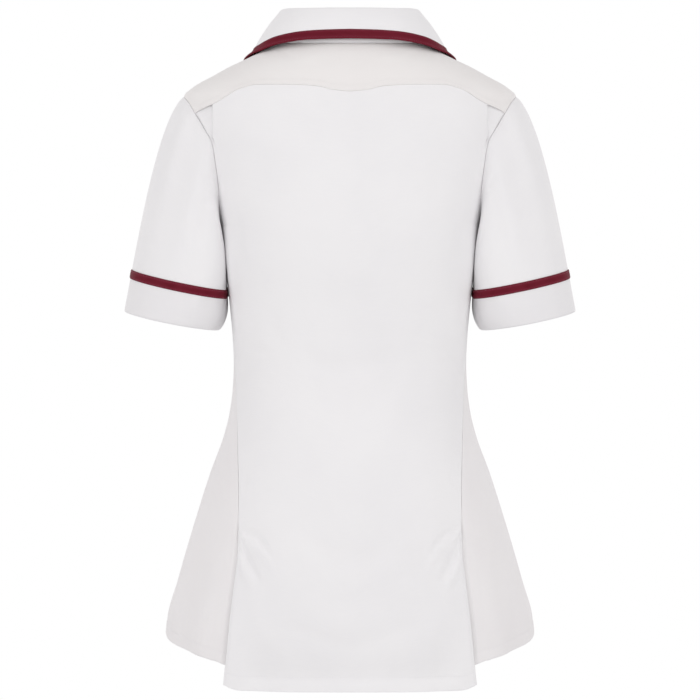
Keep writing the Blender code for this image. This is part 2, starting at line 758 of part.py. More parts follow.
def clear_of_body(points, gap):
    """Move collar points straight away from the neck until they lie this far off the body."""
    down = np.clip(-points[..., 2], 0, None)
    width = SECTION["half_width"](down)
    behind = points[..., 1] > 0
    depth = np.where(behind, SECTION["back"](down), SECTION["front"](down))
    depth = depth + np.where(behind, 0, bust(points[..., 0], down))
    power = SECTION["square"](down)
    reach = ((np.abs(points[..., 0]) / width) ** power + (np.abs(points[..., 1]) / depth) ** power)
    reach = np.maximum(reach, 1e-6) ** (1 / power)
    radius = np.hypot(points[..., 0], points[..., 1])
    away = gap * np.where(down < SHOULDER_TIP_DOWN, SHOULDER_SLOPE, 1.0)
    short = np.where(points[..., 2] < 0, radius / reach + away - radius, 0)
    grow = 1 + np.clip(short, 0, None) / np.maximum(radius, 1)
    return points * np.stack([grow, grow, np.ones_like(grow)], axis=-1)


def collar_half():
    """Middle layer of the left half of the collar, from its seam over the fold to its edge."""
    turns = np.linspace(0, COLLAR_END_TURN, COLLAR_HALF_COLUMNS)
    level = np.array([1, 1, 0])
    up = np.array([0, 0, 1.0])
    seam = body(NECK["theta"](turns), NECK["down"](turns), SEAM_GAP + 0 * turns)
    ahead = section_point(NECK["theta"](turns + 1), NECK["down"](turns + 1))
    behind = section_point(NECK["theta"](turns - 1), NECK["down"](turns - 1))
    tangent = unit((ahead - behind) * level)
    away = np.stack([-tangent[:, 1], tangent[:, 0], 0 * turns], axis=-1)
    away *= np.sign(np.sum(away * seam * level, axis=-1))[:, None]
    cut = {name: COLLAR_CUT[name](turns)[:, None] for name in COLLAR_CUT}
    fold = seam + cut["lean"] * away + cut["stand"] * up
    edge = np.concatenate([cut["across"], cut["back"], -cut["down"]], axis=1)
    roll = np.minimum(ROLL_RADIUS, cut["stand"] * 0.3)
    rows = [fold + roll * (out * away + rise * up) for out, rise in zip(*FOLD_ROLL.values())]
    rows = [seam, (seam + rows[0]) / 2] + rows
    start = rows[LEAF_ROW]
    to_trim = 1 - COLLAR_TRIM_WIDTH / np.linalg.norm(edge - start, axis=1)[:, None]
    for share in [to_trim * share for share in LEAF_SHARES] + [np.ones_like(to_trim)]:
        belly = COLLAR_BELLY * np.sin(math.pi * share) * (away * 0.6 + up * 0.5)
        rows.append(start * (1 - share) + edge * share + belly)
    rows[LEAF_ROW:] = [clear_of_body(row, COLLAR_CLEAR + CLOTH / 2) for row in rows[LEAF_ROW:]]
    return np.array(rows)


def both_halves(half):
    """A grid or line that starts in the middle, with its mirror image before it."""
    return np.concatenate([half[..., :0:-1, :] * np.array([-1, 1, 1]), half], axis=-2)


def tape_line(grid, ends, edge_row, inset):
    """A line from the middle along a row of the leaf, then up its end at some columns' inset."""
    last = grid.shape[1] - 1
    low = last - 1 - int(inset)
    share = last - inset - low
    inside = grid[:, low] * (1 - share) + grid[:, low + 1] * share
    return np.concatenate([grid[edge_row, last // 2:last], inside[list(ends)]])


def make_collar():
    middle = both_halves(collar_half())
    normals = -grid_normals(middle)
    cloth_piece("collar", middle + CLOTH / 2 * normals, normals, WHITE)
    leaf_normals = normals[LEAF_ROW:]
    leaf = middle[LEAF_ROW:] + (CLOTH / 2 + SEAM_GAP + FACET_GAP + TAPE) * leaf_normals
    inset = COLLAR_TRIM_WIDTH / np.linalg.norm(leaf[-1, 1] - leaf[-1, 0])
    outer_rows = (4, 2, 1)
    inner_rows = (3, 2, 1)
    points = np.stack([both_halves(tape_line(leaf, inner_rows, 3, inset)),
                       both_halves(tape_line(leaf, outer_rows, 4, 0))])
    out = both_halves(unit(tape_line(leaf_normals, outer_rows, 4, 0)))
    cloth_piece("collar_trim", points, np.stack([out, out]), MAROON, TAPE)


# Buttons

BUTTON_SIDES = 20
BUTTON_PROFILE = ((0.0, 0.0), (0.72, 0.0), (1.0, 0.35), (1.0, 0.7), (0.88, 1.0), (0.68, 0.72), (0.0, 0.72))


def make_button(name, down):
    """A plain round button on the outer face of the right front."""
    seat = body(-90.0, down)
    normal = body_normal(-90.0, down)
    heights, reach = np.meshgrid(down + BUTTON_RADIUS * np.linspace(-1, 1, 5),
                                 BUTTON_RADIUS * np.linspace(0, 1, 5))
    lift = np.max((body(theta_at(reach, heights, -1), heights) - seat) @ normal) + SEAM_GAP
    shape = bmesh.new()
    profile = []
    for radius, height in BUTTON_PROFILE:
        profile.append(shape.verts.new((radius * BUTTON_RADIUS * MM, 0, height * BUTTON_THICK * MM)))
    edges = [shape.edges.new(pair) for pair in zip(profile, profile[1:])]
    bmesh.ops.spin(shape, geom=profile + edges, cent=(0, 0, 0), axis=(0, 0, 1),
                   angle=2 * math.pi, steps=BUTTON_SIDES, use_merge=True)
    bmesh.ops.remove_doubles(shape, verts=shape.verts[:], dist=0.00001)
    bmesh.ops.recalc_face_normals(shape, faces=shape.faces[:])
    button = add_object(name, shape, WHITE, 0.35)
    button.location = (seat + normal * (lift + FACET_GAP)) * MM
    tilt = math.atan2(normal[2], -normal[1])
    button.rotation_euler = (math.pi / 2 - tilt, 0, 0)


def make_buttons():
    for number, down in enumerate(np.linspace(BUTTON_FIRST_DOWN, BUTTON_LAST_DOWN, BUTTON_COUNT)):
        make_button("button_%d" % (number + 1), down)


def main():
    for thing in list(bpy.data.objects):
        bpy.data.objects.remove(thing, do_unlink=True)
    make_back()
    make_back_yoke()
    make_fronts()
    make_sleeves()
    make_collar()
    make_buttons()


main()
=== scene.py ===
# %% [markdown]
# # A healthcare tunic, from plain solids to cloth
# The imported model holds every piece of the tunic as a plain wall: back, yoke, two fronts,
# collar, sleeves, cuffs, tapes and buttons. Here each of them is made again as thin cloth on
# the same form, with its turned edges, folds and stitching, and then lit and photographed.
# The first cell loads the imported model, which stays where it is as a frame for the rest.

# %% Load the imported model
import math

import bmesh
import bpy
import numpy as np
from mathutils import Matrix, Vector


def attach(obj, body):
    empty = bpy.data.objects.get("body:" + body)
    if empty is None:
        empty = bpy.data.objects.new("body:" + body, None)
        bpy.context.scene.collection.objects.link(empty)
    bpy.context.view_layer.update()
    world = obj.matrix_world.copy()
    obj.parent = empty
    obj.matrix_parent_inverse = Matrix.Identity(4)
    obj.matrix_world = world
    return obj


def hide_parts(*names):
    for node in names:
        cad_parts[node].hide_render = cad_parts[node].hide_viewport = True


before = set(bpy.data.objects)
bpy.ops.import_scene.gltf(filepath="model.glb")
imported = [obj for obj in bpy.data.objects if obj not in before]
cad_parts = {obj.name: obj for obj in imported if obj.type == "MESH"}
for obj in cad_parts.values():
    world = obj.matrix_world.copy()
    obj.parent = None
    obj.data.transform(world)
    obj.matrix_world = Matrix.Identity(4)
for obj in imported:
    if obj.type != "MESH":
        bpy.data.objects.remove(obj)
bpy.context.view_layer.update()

# %% [markdown]
# ## Sizes
# A pattern cutter writes a garment down as a few sizes. They are millimetres here, measured
# down from the neck point of the shoulder and out from the middle, and are turned into
# metres only when a mesh is made. Nearly all of them are the same as in the solids, so the
# cloth lies on them. At the vents, the hems and the back of the sleeves a few differ, by
# less than 4 mm, because thin cloth lies closer there than a thick wall can.

# %% Named sizes in millimetres
MM = 0.001
CLOTH = 0.7
COLLAR_THICK = 1.5
CUFF_THICK = 1.3
TAPE_THICK = 0.35
LAP = 1.3
BACK_EDGE_DEG = 0.03
FRONT_EDGE_DEG = 0.12

SHOULDER_TIP_DOWN = 63.5
UNDERARM_DOWN = 215.0
SIDE_SEAM_STRAIGHT_DOWN = 401.0
VENT_TOP_DOWN = 567.0
BACK_HEM_DOWN = 741.5
HEM_CORNER_RISE = 7.5
HEM_CORNER_DEG = (60, 48)
BACK_HEM_BAND = 16.0
FRONT_HEM_BAND = 13.0
HEM_FOLD = 0.35
HEM_FOLD_EASE = 1.2

BUST_DOWN = 240.0
BUST_APART = 84.0
BUST_RISE = 17.0
BUST_WIDTH = 62.0
BUST_ABOVE = 74.0
BUST_BELOW = 48.0

PLEAT_OUT = 157.0
PLEAT_DEPTH = 4.6
PLEAT_END_DOWN = 111.0
PLEAT_CLOSE = 20.0
PLEAT_MERGE_DEG = 2.2

OVERLAP = 13.0
UNDER_STEP = 2.4

UNDERLAP_DEG = 13.0
VENT_DIP_DEG = 5.5
SEAM_END_DEG = 0.9
VENT_STEP = 1.8
UNDERLAP_SINKS = 2.4
VENT_EASE = 3.6
VENT_EASE_DEG = (80, 30)
VENT_EDGE_NARROWS = (-160, -30)
VENT_STEPS_IN = (-40, 34)
VENT_EDGE_OPENS = (-1, 20)
VENT_UNDERLAP_GROWS = (-1, 50)

ARMHOLE_CLOSE_DOWN = 200.0
UNDERARM_SPREAD_DEG = 17.0

TRIM_WIDTH = 10.0
CUFF_DEPTH = 39.0
HEM_CENTRE = np.array([206.8, -6.0, -322.6])
HEM_HALF_WIDTH = 56.4
HEM_HALF_DEPTH = 56.0
HEM_TAPER = 0.62
CAP_REACH = 0.455
HEM_REACH = 0.82
ARM_OUT_DEG = 11.5
ARM_FORWARD_DEG = 4.8
SLEEVE_CLEAR = 1.6
SLEEVE_PUSH = 1.1
SLEEVE_FREE_DOWN = (UNDERARM_DOWN - 70, UNDERARM_DOWN + 12)

# Behind the underarm the sleeve lies in against the body. It rises over the first two
# places round the sleeve and down it, and fades over the last two.
SLEEVE_HUG = 7.6
HUG_TURNS = (88, 130, 140, 175)
HUG_SHARES = (0.03, 0.42, 0.45, 0.79)

# Its back edge is pressed flat: the cloth beside the edge stands further back, and so the
# sleeve's face stays level right up to it. These places are counted in the same way.
EDGE_FLAT = 4.0
FLAT_TURNS = (98, 128, 138, 168)
FLAT_SHARES = (0.05, 0.3, 0.85, 1.2)

COLLAR_CLEAR = 2.4
COLLAR_END_TURN = 178.6
COLLAR_BELLY = 3.0
ROLL_RADIUS = 2.6
SHOULDER_SLOPE = 2.1
SLOPE_EASE = 26.0

BUTTON_RADIUS = 8.5
BUTTON_DOWNS = np.linspace(118.0, 452.0, 5)
print("back %.1f mm long, side seam ends %.1f mm down" % (BACK_HEM_DOWN, VENT_TOP_DOWN))


# %% [markdown]
# ## The form as tables
# The worn tunic is a stack of level sections. Each row of the first table is one section:
# its half width, how far it reaches to the front and to the back, and how square it is,
# where 2 is an ellipse. The other tables are the seams that lie on that form. A helper
# names a table's columns, and another draws a smooth curve through a column that never
# overshoots its rows.

# %% Tables of the form
def table(names, rows):
    """Name the columns of a short table."""
    columns = zip(*rows)
    return {name: np.array(column, float) for name, column in zip(names.split(), columns)}


TORSO = table("down half_width front back square", [
    (0, 80, 22, 54, 2.2),
    (10, 100, 33, 62, 2.2),
    (21, 122, 43, 69, 2.2),
    (30, 141, 50, 74, 2.2),
    (40, 159, 57, 79, 2.2),
    (53, 182, 64, 84, 2.2),
    (63.5, 192.5, 70, 88, 2.2),
    (80, 193, 77, 93, 2.25),
    (100, 186, 85, 97, 2.3),
    (125, 177, 94, 101, 2.4),
    (155, 167, 103, 104, 2.5),
    (185, 158, 111, 106, 2.5),
    (215, 150.5, 117, 105.5, 2.5),
    (250, 146.6, 120, 102, 2.5),
    (289, 141.2, 116, 95, 2.45),
    (318, 138, 112, 90, 2.4),
    (345, 135.8, 108, 86, 2.35),
    (372, 134.6, 105, 84, 2.3),
    (401, 135.9, 105, 85, 2.25),
    (429, 139.5, 107, 89, 2.2),
    (457, 146.5, 110, 95, 2.2),
    (498, 161.5, 114, 104, 2.2),
    (540, 175, 118, 111, 2.2),
    (582, 187.8, 121, 116, 2.15),
    (624, 199.8, 123, 118, 2.15),
    (666, 211.5, 125, 118, 2.15),
    (700, 214, 126, 116, 2.15),
    (745, 214, 126, 112, 2.15),
])

ARMHOLE = table("turn theta down out back up", [
    (0, 0, 63.5, 0.80, 0.0, -0.60),
    (25, 13, 69, 0.80, 0.10, -0.60),
    (48, 23.5, 85, 0.74, 0.24, -0.64),
    (64, 26.5, 101, 0.62, 0.34, -0.70),
    (82, 30.5, 121, 0.50, 0.40, -0.78),
    (104, 28, 148, 0.40, 0.38, -0.84),
    (128, 22.5, 180, 0.34, 0.28, -0.90),
    (154, 12, 205, 0.20, 0.12, -0.97),
    (180, 0, 215, 0.10, 0.0, -0.99),
    (206, -13, 207, 0.20, -0.10, -0.97),
    (232, -25, 186, 0.36, -0.22, -0.90),
    (256, -31.5, 158, 0.40, -0.30, -0.86),
    (280, -33, 130, 0.50, -0.34, -0.80),
    (302, -29, 105, 0.62, -0.32, -0.72),
    (322, -20, 84, 0.74, -0.22, -0.64),
    (340, -11, 71, 0.80, -0.10, -0.60),
    (360, 0, 63.5, 0.80, 0.0, -0.60),
])
ARMHOLE_YOKE_BACK = 48
ARMHOLE_YOKE_FRONT = 332

NECKLINE = table("turn theta down", [
    (0, 90, 7), (30, 61, 6), (60, 30, 3), (90, 0, 0), (104, -18, 3.5), (116, -36, 10),
    (128, -50, 20), (144, -67, 40), (158, -77.5, 60), (170, -84.5, 80), (180, -90, 96),
])
NECK_AT_YOKE_FRONT = 104
NECK_AT_YOKE_CORNER = 54

YOKE_SEAM = table("share theta down", [
    (0.0, 90, 63.3), (0.14, 85.0, 61.0), (0.26, 80.7, 57.2), (0.45, 70, 54.8),
    (0.66, 57, 54.2), (0.76, 50.6, 59), (0.88, 40.5, 73), (1.0, 23.5, 85),
])

SIDE_SEAM = table("down out", [
    (330, 137.5), (401, 131.2), (460, 128.5), (520, 126.5), (567, 126.0), (610, 129.5),
    (651, 134.5), (685, 138.0), (715, 140.5), (745, 143.0),
])

FRONT_HEM = table("theta down", [
    (-90, 716), (-60, 713), (-30, 701), (-8, 686), (2, 683), (14, 690.8), (22, 696.2),
    (33, 700.4), (39.5, 704), (44, 706.8), (47.5, 710), (50.5, 713.3), (70, 716),
])

FOLDS = table("theta top down width depth", [
    (24, 480, 700, 8, -4.5),
    (40, 520, 700, 6, 3.0),
    (-24, 480, 700, 9, -4.0),
    (-40, 500, 700, 7, -3.5),
    (-58, 520, 700, 9, 3.5),
    (60, 600, 740, 7, -3.0),
    (73, 590, 740, 7, 2.5),
])

COLLAR = table("turn lean stand across back down", [
    (0, -6, 40, 0, 68, 1.8),
    (25, -6, 39.5, 44, 65, 2.6),
    (50, -5, 38.5, 82, 49, 6.5),
    (72, -3.5, 36, 105.5, 24, 13.0),
    (90, -2, 32, 114.5, 0, 16.5),
    (104, 0, 28, 113, -24, 26),
    (116, 2, 24, 108, -45, 44),
    (128, 3, 20, 99, -61, 66),
    (144, 3, 15, 85, -77, 92),
    (160, 2, 10, 62, -90, 118),
    (180, 1, 6, 34, -100, 142),
])

print("tables: %d sections, %d folds" % (len(TORSO["down"]), len(FOLDS["theta"])))


# %% [markdown]
# ## Curves and the surface of the body
# A point of the form needs two numbers: how far down it is, and at which angle it lies on
# that level section. Theta is 0 at the wearer's left side, 90 in the middle of the back and
# -90 in the middle of the front. The bust shaping and the largest folds are added to the
# sections, because the cut gives them and not the wearer.

# %% Curves and the body's surface
def smooth_curve(places, values):
    """A smooth curve through a table's rows that doesn't overshoot them."""
    x = np.asarray(places, float)
    y = np.asarray(values, float)
    step = np.diff(x)
    rise = np.diff(y) / step
    slope = np.zeros(len(x))
    slope[0] = rise[0]
    slope[-1] = rise[-1]
    same = rise[:-1] * rise[1:] > 0
    before = 2 * step[1:] + step[:-1]
    after = step[1:] + 2 * step[:-1]
    near = np.where(same, rise[:-1], 1.0)
    far = np.where(same, rise[1:], 1.0)
    slope[1:-1] = np.where(same, (before + after) / (before / near + after / far), 0.0)

    def value(at):
        at = np.clip(np.asarray(at, float), x[0], x[-1])
        i = np.clip(np.searchsorted(x, at, side="right") - 1, 0, len(step) - 1)
        t = (at - x[i]) / step[i]
        start = (1 + 2 * t) * (1 - t) ** 2 * y[i] + t * (1 - t) ** 2 * step[i] * slope[i]
        end = t * t * (3 - 2 * t) * y[i + 1] + t * t * (t - 1) * step[i] * slope[i + 1]
        return start + end

    return value


def loop_curve(turns, values):
    """A smooth closed curve through rows that go once round, from 0 to 360 degrees."""
    turns = np.concatenate([turns[-4:-1] - 360, turns, turns[1:4] + 360])
    values = np.concatenate([values[-4:-1], values, values[1:4]])
    open_curve = smooth_curve(turns, values)
    return lambda at: open_curve(np.mod(at, 360))


def smooth_step(low, high, at):
    """0 below low, 1 above high, and an even ease between them."""
    t = np.clip((np.asarray(at, float) - low) / (high - low), 0, 1)
    return t * t * (3 - 2 * t)


def rise_and_fall(places, at):
    """0, then 1 between the middle two of four places, and 0 again after the last."""
    return smooth_step(places[0], places[1], at) * (1 - smooth_step(places[2], places[3], at))


def unit(vectors):
    """Vectors of length one."""
    return vectors / np.maximum(np.linalg.norm(vectors, axis=-1, keepdims=True), 1e-9)


def curves(form, first, make=smooth_curve):
    """A curve for each column of a table, all against its first column."""
    return {name: make(form[first], form[name]) for name in form if name != first}


SECTION = curves(TORSO, "down")
SEAM = curves(ARMHOLE, "turn", loop_curve)
NECK = curves(NECKLINE, "turn")
YOKE = curves(YOKE_SEAM, "share")
COLLAR_CUT = curves(COLLAR, "turn")
side_seam_out = curves(SIDE_SEAM, "down")["out"]
front_hem_down = curves(FRONT_HEM, "theta")["down"]


def bust(across, down):
    """How far the bust shaping stands in front of the section."""
    reach = np.where(down < BUST_DOWN, BUST_ABOVE, BUST_BELOW)
    sideways = np.exp(-((np.abs(across) - BUST_APART) / BUST_WIDTH) ** 2)
    return BUST_RISE * sideways * np.exp(-((down - BUST_DOWN) / reach) ** 2)


def fold_depth(theta, down):
    """How far the lengthways folds stand out of the section."""
    depth = np.zeros(np.broadcast(theta, down).shape)
    for at, top, low, width, size in zip(*FOLDS.values()):
        depth = depth + (size * smooth_step(top, low, down)
                         * np.exp(-((np.abs(theta - 90) - abs(at - 90)) / width) ** 2))
    return depth


def section_point(theta, down):
    """A point of the body's surface."""
    theta = np.asarray(theta, float)
    down = np.asarray(down, float)
    angle = np.radians(theta)
    power = 2 / SECTION["square"](down)
    across = SECTION["half_width"](down) * np.sign(np.cos(angle)) * np.abs(np.cos(angle)) ** power
    behind = np.sin(angle) >= 0
    depth = np.where(behind, SECTION["back"](down), SECTION["front"](down))
    along = depth * np.sign(np.sin(angle)) * np.abs(np.sin(angle)) ** power
    along = along - np.where(behind, 0.0, bust(across, down) * np.abs(np.sin(angle)))
    scale = 1 + fold_depth(theta, down) / np.hypot(across, along)
    down = np.broadcast_to(down, across.shape)
    return np.stack([across * scale, along * scale, -down], axis=-1)


def body_normal(theta, down):
    """The direction straight out of the body's surface."""
    turn = section_point(theta + 0.4, down) - section_point(theta - 0.4, down)
    drop = section_point(theta, down + 0.5) - section_point(theta, down - 0.5)
    return unit(np.cross(drop, turn))


def body(theta, down, out=0.0):
    """Points on the body's surface, moved straight out by some millimetres."""
    return section_point(theta, down) + np.asarray(out)[..., None] * body_normal(theta, down)


def theta_at(across, down, side):
    """The angle on the section of a point this far from the middle; side is 1 at the back."""
    share = np.clip(np.abs(across) / SECTION["half_width"](down), 0, 1)
    return side * np.degrees(np.arccos(share ** (SECTION["square"](down) / 2)))


def side_theta(down):
    """The angle of the back panel's edge below the underarm."""
    below = theta_at(side_seam_out(down), down, 1)
    return below * smooth_step(UNDERARM_DOWN, SIDE_SEAM_STRAIGHT_DOWN, down)


def armhole_theta(down, side):
    """The angle of the armhole seam at a height, on the back or on the front."""
    turns = np.linspace(0, 180, 121) if side > 0 else np.linspace(360, 180, 121)
    return np.interp(down, SEAM["down"](turns), SEAM["theta"](turns))


def panel_edge(down, side):
    """The angle at which a panel ends, at the armhole or at the side seam."""
    above = armhole_theta(down, side)
    return np.where(down < UNDERARM_DOWN, above, side_theta(down))


def underarm_spread(down):
    """How far the columns stay back from the edge where it runs out under the arm."""
    return (UNDERARM_SPREAD_DEG * smooth_step(ARMHOLE_CLOSE_DOWN, UNDERARM_DOWN, down)
            * (1 - smooth_step(UNDERARM_DOWN, SIDE_SEAM_STRAIGHT_DOWN, down)))


print("half width at the waist: %.1f mm" % SECTION["half_width"](372.0))


# %% [markdown]
# ## From a grid to a sheet of cloth
# Cloth is woven as a grid, so a sheet is modelled as one: bmesh makes a flat grid, and each
# of its corners is then moved to its own row and column of a grid of points on the form.
# Two UV maps go with it. The first is the sheet laid flat, in metres, and carries the weave.
# The second holds the distance to the nearest row of stitching and the place along it, and
# carries the small puckers. A Solidify modifier gives the thickness at the end, so the cloth
# has real edges. Every finished piece rides the tunic's one body, and most of them stand for
# a node of the solids.

# %% Helpers that lay cloth out
SAME_PLACE = 0.00001


def ladder(start, *runs):
    """Numbers from start on: each run goes to its own end in even steps of about its size."""
    marks = [start]
    for end, step in runs:
        count = max(1, round(abs(end - marks[-1]) / step))
        marks.extend(np.linspace(marks[-1], end, count + 1)[1:])
    return np.array(marks)


def lengths_along(points, axis):
    """How far each point lies along its own row or column, in millimetres."""
    steps = np.linalg.norm(np.diff(points, axis=axis), axis=-1)
    start = np.zeros_like(np.take(steps, [0], axis=axis))
    return np.concatenate([start, np.cumsum(steps, axis=axis)], axis=axis)


def flat_map(points, middle=None):
    """The sheet laid flat: millimetres across from the middle column, and down from the top."""
    across = lengths_along(points, 1)
    middle = points.shape[1] // 2 if middle is None else middle
    across = across - across[:, [middle]]
    return np.stack([across, lengths_along(points, 0)], axis=-1)


def sheet_area(points):
    """The area of a grid of points, in square millimetres."""
    one = np.cross(points[1:, 1:] - points[:-1, :-1], points[1:, :-1] - points[:-1, 1:])
    return 0.5 * np.linalg.norm(one, axis=-1).sum()


def sheet_normals(points, outward):
    """Directions straight out of a grid of points, on the side that outward points to."""
    normals = unit(np.cross(np.gradient(points, axis=0), np.gradient(points, axis=1)))
    return normals * np.sign(np.sum(normals * outward, axis=-1, keepdims=True))


def sample(grid, rows, columns):
    """Values of a grid between its own rows and columns."""
    rows, columns = np.broadcast_arrays(np.asarray(rows, float), np.asarray(columns, float))
    r = np.clip(rows.astype(int), 0, grid.shape[0] - 2)
    c = np.clip(columns.astype(int), 0, grid.shape[1] - 2)
    s = (rows - r)[..., None]
    t = (columns - c)[..., None]
    top = grid[r, c] * (1 - t) + grid[r, c + 1] * t
    low = grid[r + 1, c] * (1 - t) + grid[r + 1, c + 1] * t
    return top * (1 - s) + low * s


def far_from(points, line):
    """The distance from each point to a line of points, and the place along the line."""
    along = lengths_along(line[None], 1)[0]
    near = np.full(points.shape[:2], 1e9)
    place = np.zeros(points.shape[:2])
    for start, end, at in zip(line[:-1], line[1:], along):
        run = end - start
        length = np.linalg.norm(run)
        if length < 1e-6:
            continue
        t = np.clip((points - start) @ run / length ** 2, 0, 1)
        gap = np.linalg.norm(points - start - t[..., None] * run, axis=-1)
        closer = gap < near
        near[closer] = gap[closer]
        place[closer] = (at + t * length)[closer]
    return near, place


def as_mesh(name, shape):
    """A bmesh written to a mesh of its own."""
    mesh = bpy.data.meshes.new(name)
    shape.to_mesh(mesh)
    shape.free()
    return mesh


def link(name, data):
    """A new object in the scene."""
    thing = bpy.data.objects.new(name, data)
    bpy.context.collection.objects.link(thing)
    return thing


def add_piece(name, mesh, finish, node=None):
    """A piece of the tunic, which can stand for a node of the solids."""
    mesh.materials.append(finish)
    piece = link(name, mesh)
    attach(piece, "root")
    if node:
        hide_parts(node)
    return piece


def sheet_mesh(name, points, flat, sewing, normals, ring=False):
    """A smooth mesh through a grid of points, with its flat map and its sewing map."""
    rows, columns = points.shape[:2]
    blank = bmesh.new()
    bmesh.ops.create_grid(blank, x_segments=columns - 1, y_segments=rows - 1, size=1)
    mesh = as_mesh(name, blank)
    place = np.zeros(len(mesh.vertices) * 3, np.float32)
    mesh.vertices.foreach_get("co", place)
    place = place.reshape(-1, 3)
    column = np.rint((place[:, 0] + 1) / 2 * (columns - 1)).astype(int)
    row = np.rint((place[:, 1] + 1) / 2 * (rows - 1)).astype(int)
    mesh.vertices.foreach_set("co", (points[row, column] * MM).astype(np.float32).ravel())
    corner = np.zeros(len(mesh.loops), np.int32)
    mesh.loops.foreach_get("vertex_index", corner)
    for title, values in (("cloth", flat), ("sewing", sewing)):
        layer = mesh.uv_layers.new(name=title)
        uv = (values[row[corner], column[corner]] * MM).astype(np.float32)
        layer.data.foreach_set("uv", uv.ravel())
    mesh.update()
    facing = np.zeros(len(mesh.vertices) * 3, np.float32)
    mesh.vertices.foreach_get("normal", facing)
    if np.sum(facing.reshape(-1, 3) * normals[row, column]) < 0:
        mesh.flip_normals()
    if ring:
        joined = bmesh.new()
        joined.from_mesh(mesh)
        bmesh.ops.remove_doubles(joined, verts=joined.verts[:], dist=SAME_PLACE)
        joined.to_mesh(mesh)
        joined.free()
    mesh.shade_smooth()
    return mesh


print("a ladder of rows:", ladder(0.0, (10.0, 3.0)).round(2))


# %% [markdown]
# ## Creases
# A crease is written down as a tailor would chalk it on the flat sheet: where it starts and
# ends, across from the middle and down, how wide and how deep it is, and how far its middle
# bends aside. It is pressed in as a soft trough, or raised as a soft ridge, that fades out
# at both ends. No two of them are alike, because folds never repeat.

# %% Creases as soft troughs and ridges
CREASE_COLUMNS = "across_start down_start across_end down_end width depth bend"
CREASE_STEPS = 14


def crease_depth(flat, creases):
    """How far the creases of a table move each point of a sheet in (-) or out (+)."""
    depth = np.zeros(flat.shape[:2])
    for x0, y0, x1, y1, width, size, bend in zip(*creases.values()):
        share = np.linspace(0, 1, CREASE_STEPS)
        run = np.array([x1 - x0, y1 - y0])
        aside = np.array([-run[1], run[0]]) / np.hypot(*run)
        line = np.array([x0, y0]) + share[:, None] * run
        line = line + (bend * np.sin(math.pi * share))[:, None] * aside
        gap, place = far_from(flat, line)
        length = np.linalg.norm(np.diff(line, axis=0), axis=1).sum()
        fade = np.sin(math.pi * np.clip(place / length, 0.02, 0.98)) ** 0.7
        depth += size * fade * np.exp(-(gap / (width * (0.55 + 0.45 * fade))) ** 2)
    return depth


def both_sides(rows, uneven=0.12):
    """Creases on both sides of the middle, those of the second side a little different."""
    made = []
    for i, (x0, y0, x1, y1, width, size, bend) in enumerate(rows):
        change = 1 + uneven * math.sin(2.4 * i + 0.7)
        made.append((x0, y0, x1, y1, width, size, bend))
        made.append((-x0, y0 + 3 * (change - 1) * 10, -x1, y1, width * change,
                     size * (2 - change), -bend * change))
    return made


print("a crease is a line of", CREASE_STEPS, "points")


# %% [markdown]
# ## Stitches
# A row of lockstitch is a line of short threads lying in the cloth, each about 2.3 mm long.
# At this size each thread can be a real small solid: a low sphere, drawn out along the seam.
# It has few faces, because there are thousands of them.

# %% Rows of stitching
STITCH_PITCH = 3.0
STITCH_LENGTH = 2.3
THREAD = 0.42
STITCHES_AT_ONCE = 24


def resample(line, pitch, ends=0.5):
    """Even places along a line of points, with the line's direction at each of them."""
    along = lengths_along(line[None], 1)[0]
    count = max(1, int((along[-1] - 2 * ends) / pitch))
    places = ends + (np.arange(count) + 0.5) * (along[-1] - 2 * ends) / count
    points = np.stack([np.interp(places, along, line[:, k]) for k in range(3)], axis=-1)
    ahead = np.stack([np.interp(places + 0.4, along, line[:, k]) for k in range(3)], axis=-1)
    return points, unit(ahead - points)


def stitch_places(seams):
    """One matrix for each stitch of some seams, which are given as points and normals."""
    places = []
    for line, normals in seams:
        along = lengths_along(line[None], 1)[0]
        if along[-1] < 2 * STITCH_PITCH:
            continue
        points, ahead = resample(line, STITCH_PITCH)
        at = lengths_along(points[None], 1)[0] + STITCH_PITCH / 2
        ups = np.stack([np.interp(at, along, normals[:, k]) for k in range(3)], axis=-1)
        sides = unit(np.cross(ups, ahead))
        ups = unit(np.cross(ahead, sides))
        size = Matrix.Diagonal((STITCH_LENGTH / 2 * MM, THREAD / 2 * MM, THREAD / 2 * MM, 1))
        for point, run, side, up in zip(points, ahead, sides, ups):
            turn = Matrix(np.stack([run, side, up], axis=1).tolist()).to_4x4()
            at_point = Matrix.Translation(Vector((point + up * THREAD * 0.12) * MM))
            places.append(at_point @ turn @ size)
    return places


def stitch_rows(name, seams, finish):
    """One object with all the stitches of a piece, sewn a few at a time to stay quick."""
    mesh = bpy.data.meshes.new(name)
    places = stitch_places(seams)
    sewn = bmesh.new()
    for first in range(0, len(places), STITCHES_AT_ONCE):
        few = bmesh.new()
        for place in places[first:first + STITCHES_AT_ONCE]:
            bmesh.ops.create_uvsphere(few, u_segments=6, v_segments=4, radius=1, matrix=place)
        few.to_mesh(mesh)
        few.free()
        sewn.from_mesh(mesh)
    sewn.to_mesh(mesh)
    sewn.free()
    mesh.shade_smooth()
    print(name, len(places), "stitches")
    return add_piece(name, mesh, finish)


print("a stitch every %.1f mm" % STITCH_PITCH)


# %% [markdown]
# ## Shader maths in words
# A procedural finish is a sum of small patterns. Written as plain Python expressions it
# stays readable, so one small class wraps a socket and turns +, -, * and / into Math nodes.
# One method makes every other node from its type, its settings and its inputs.

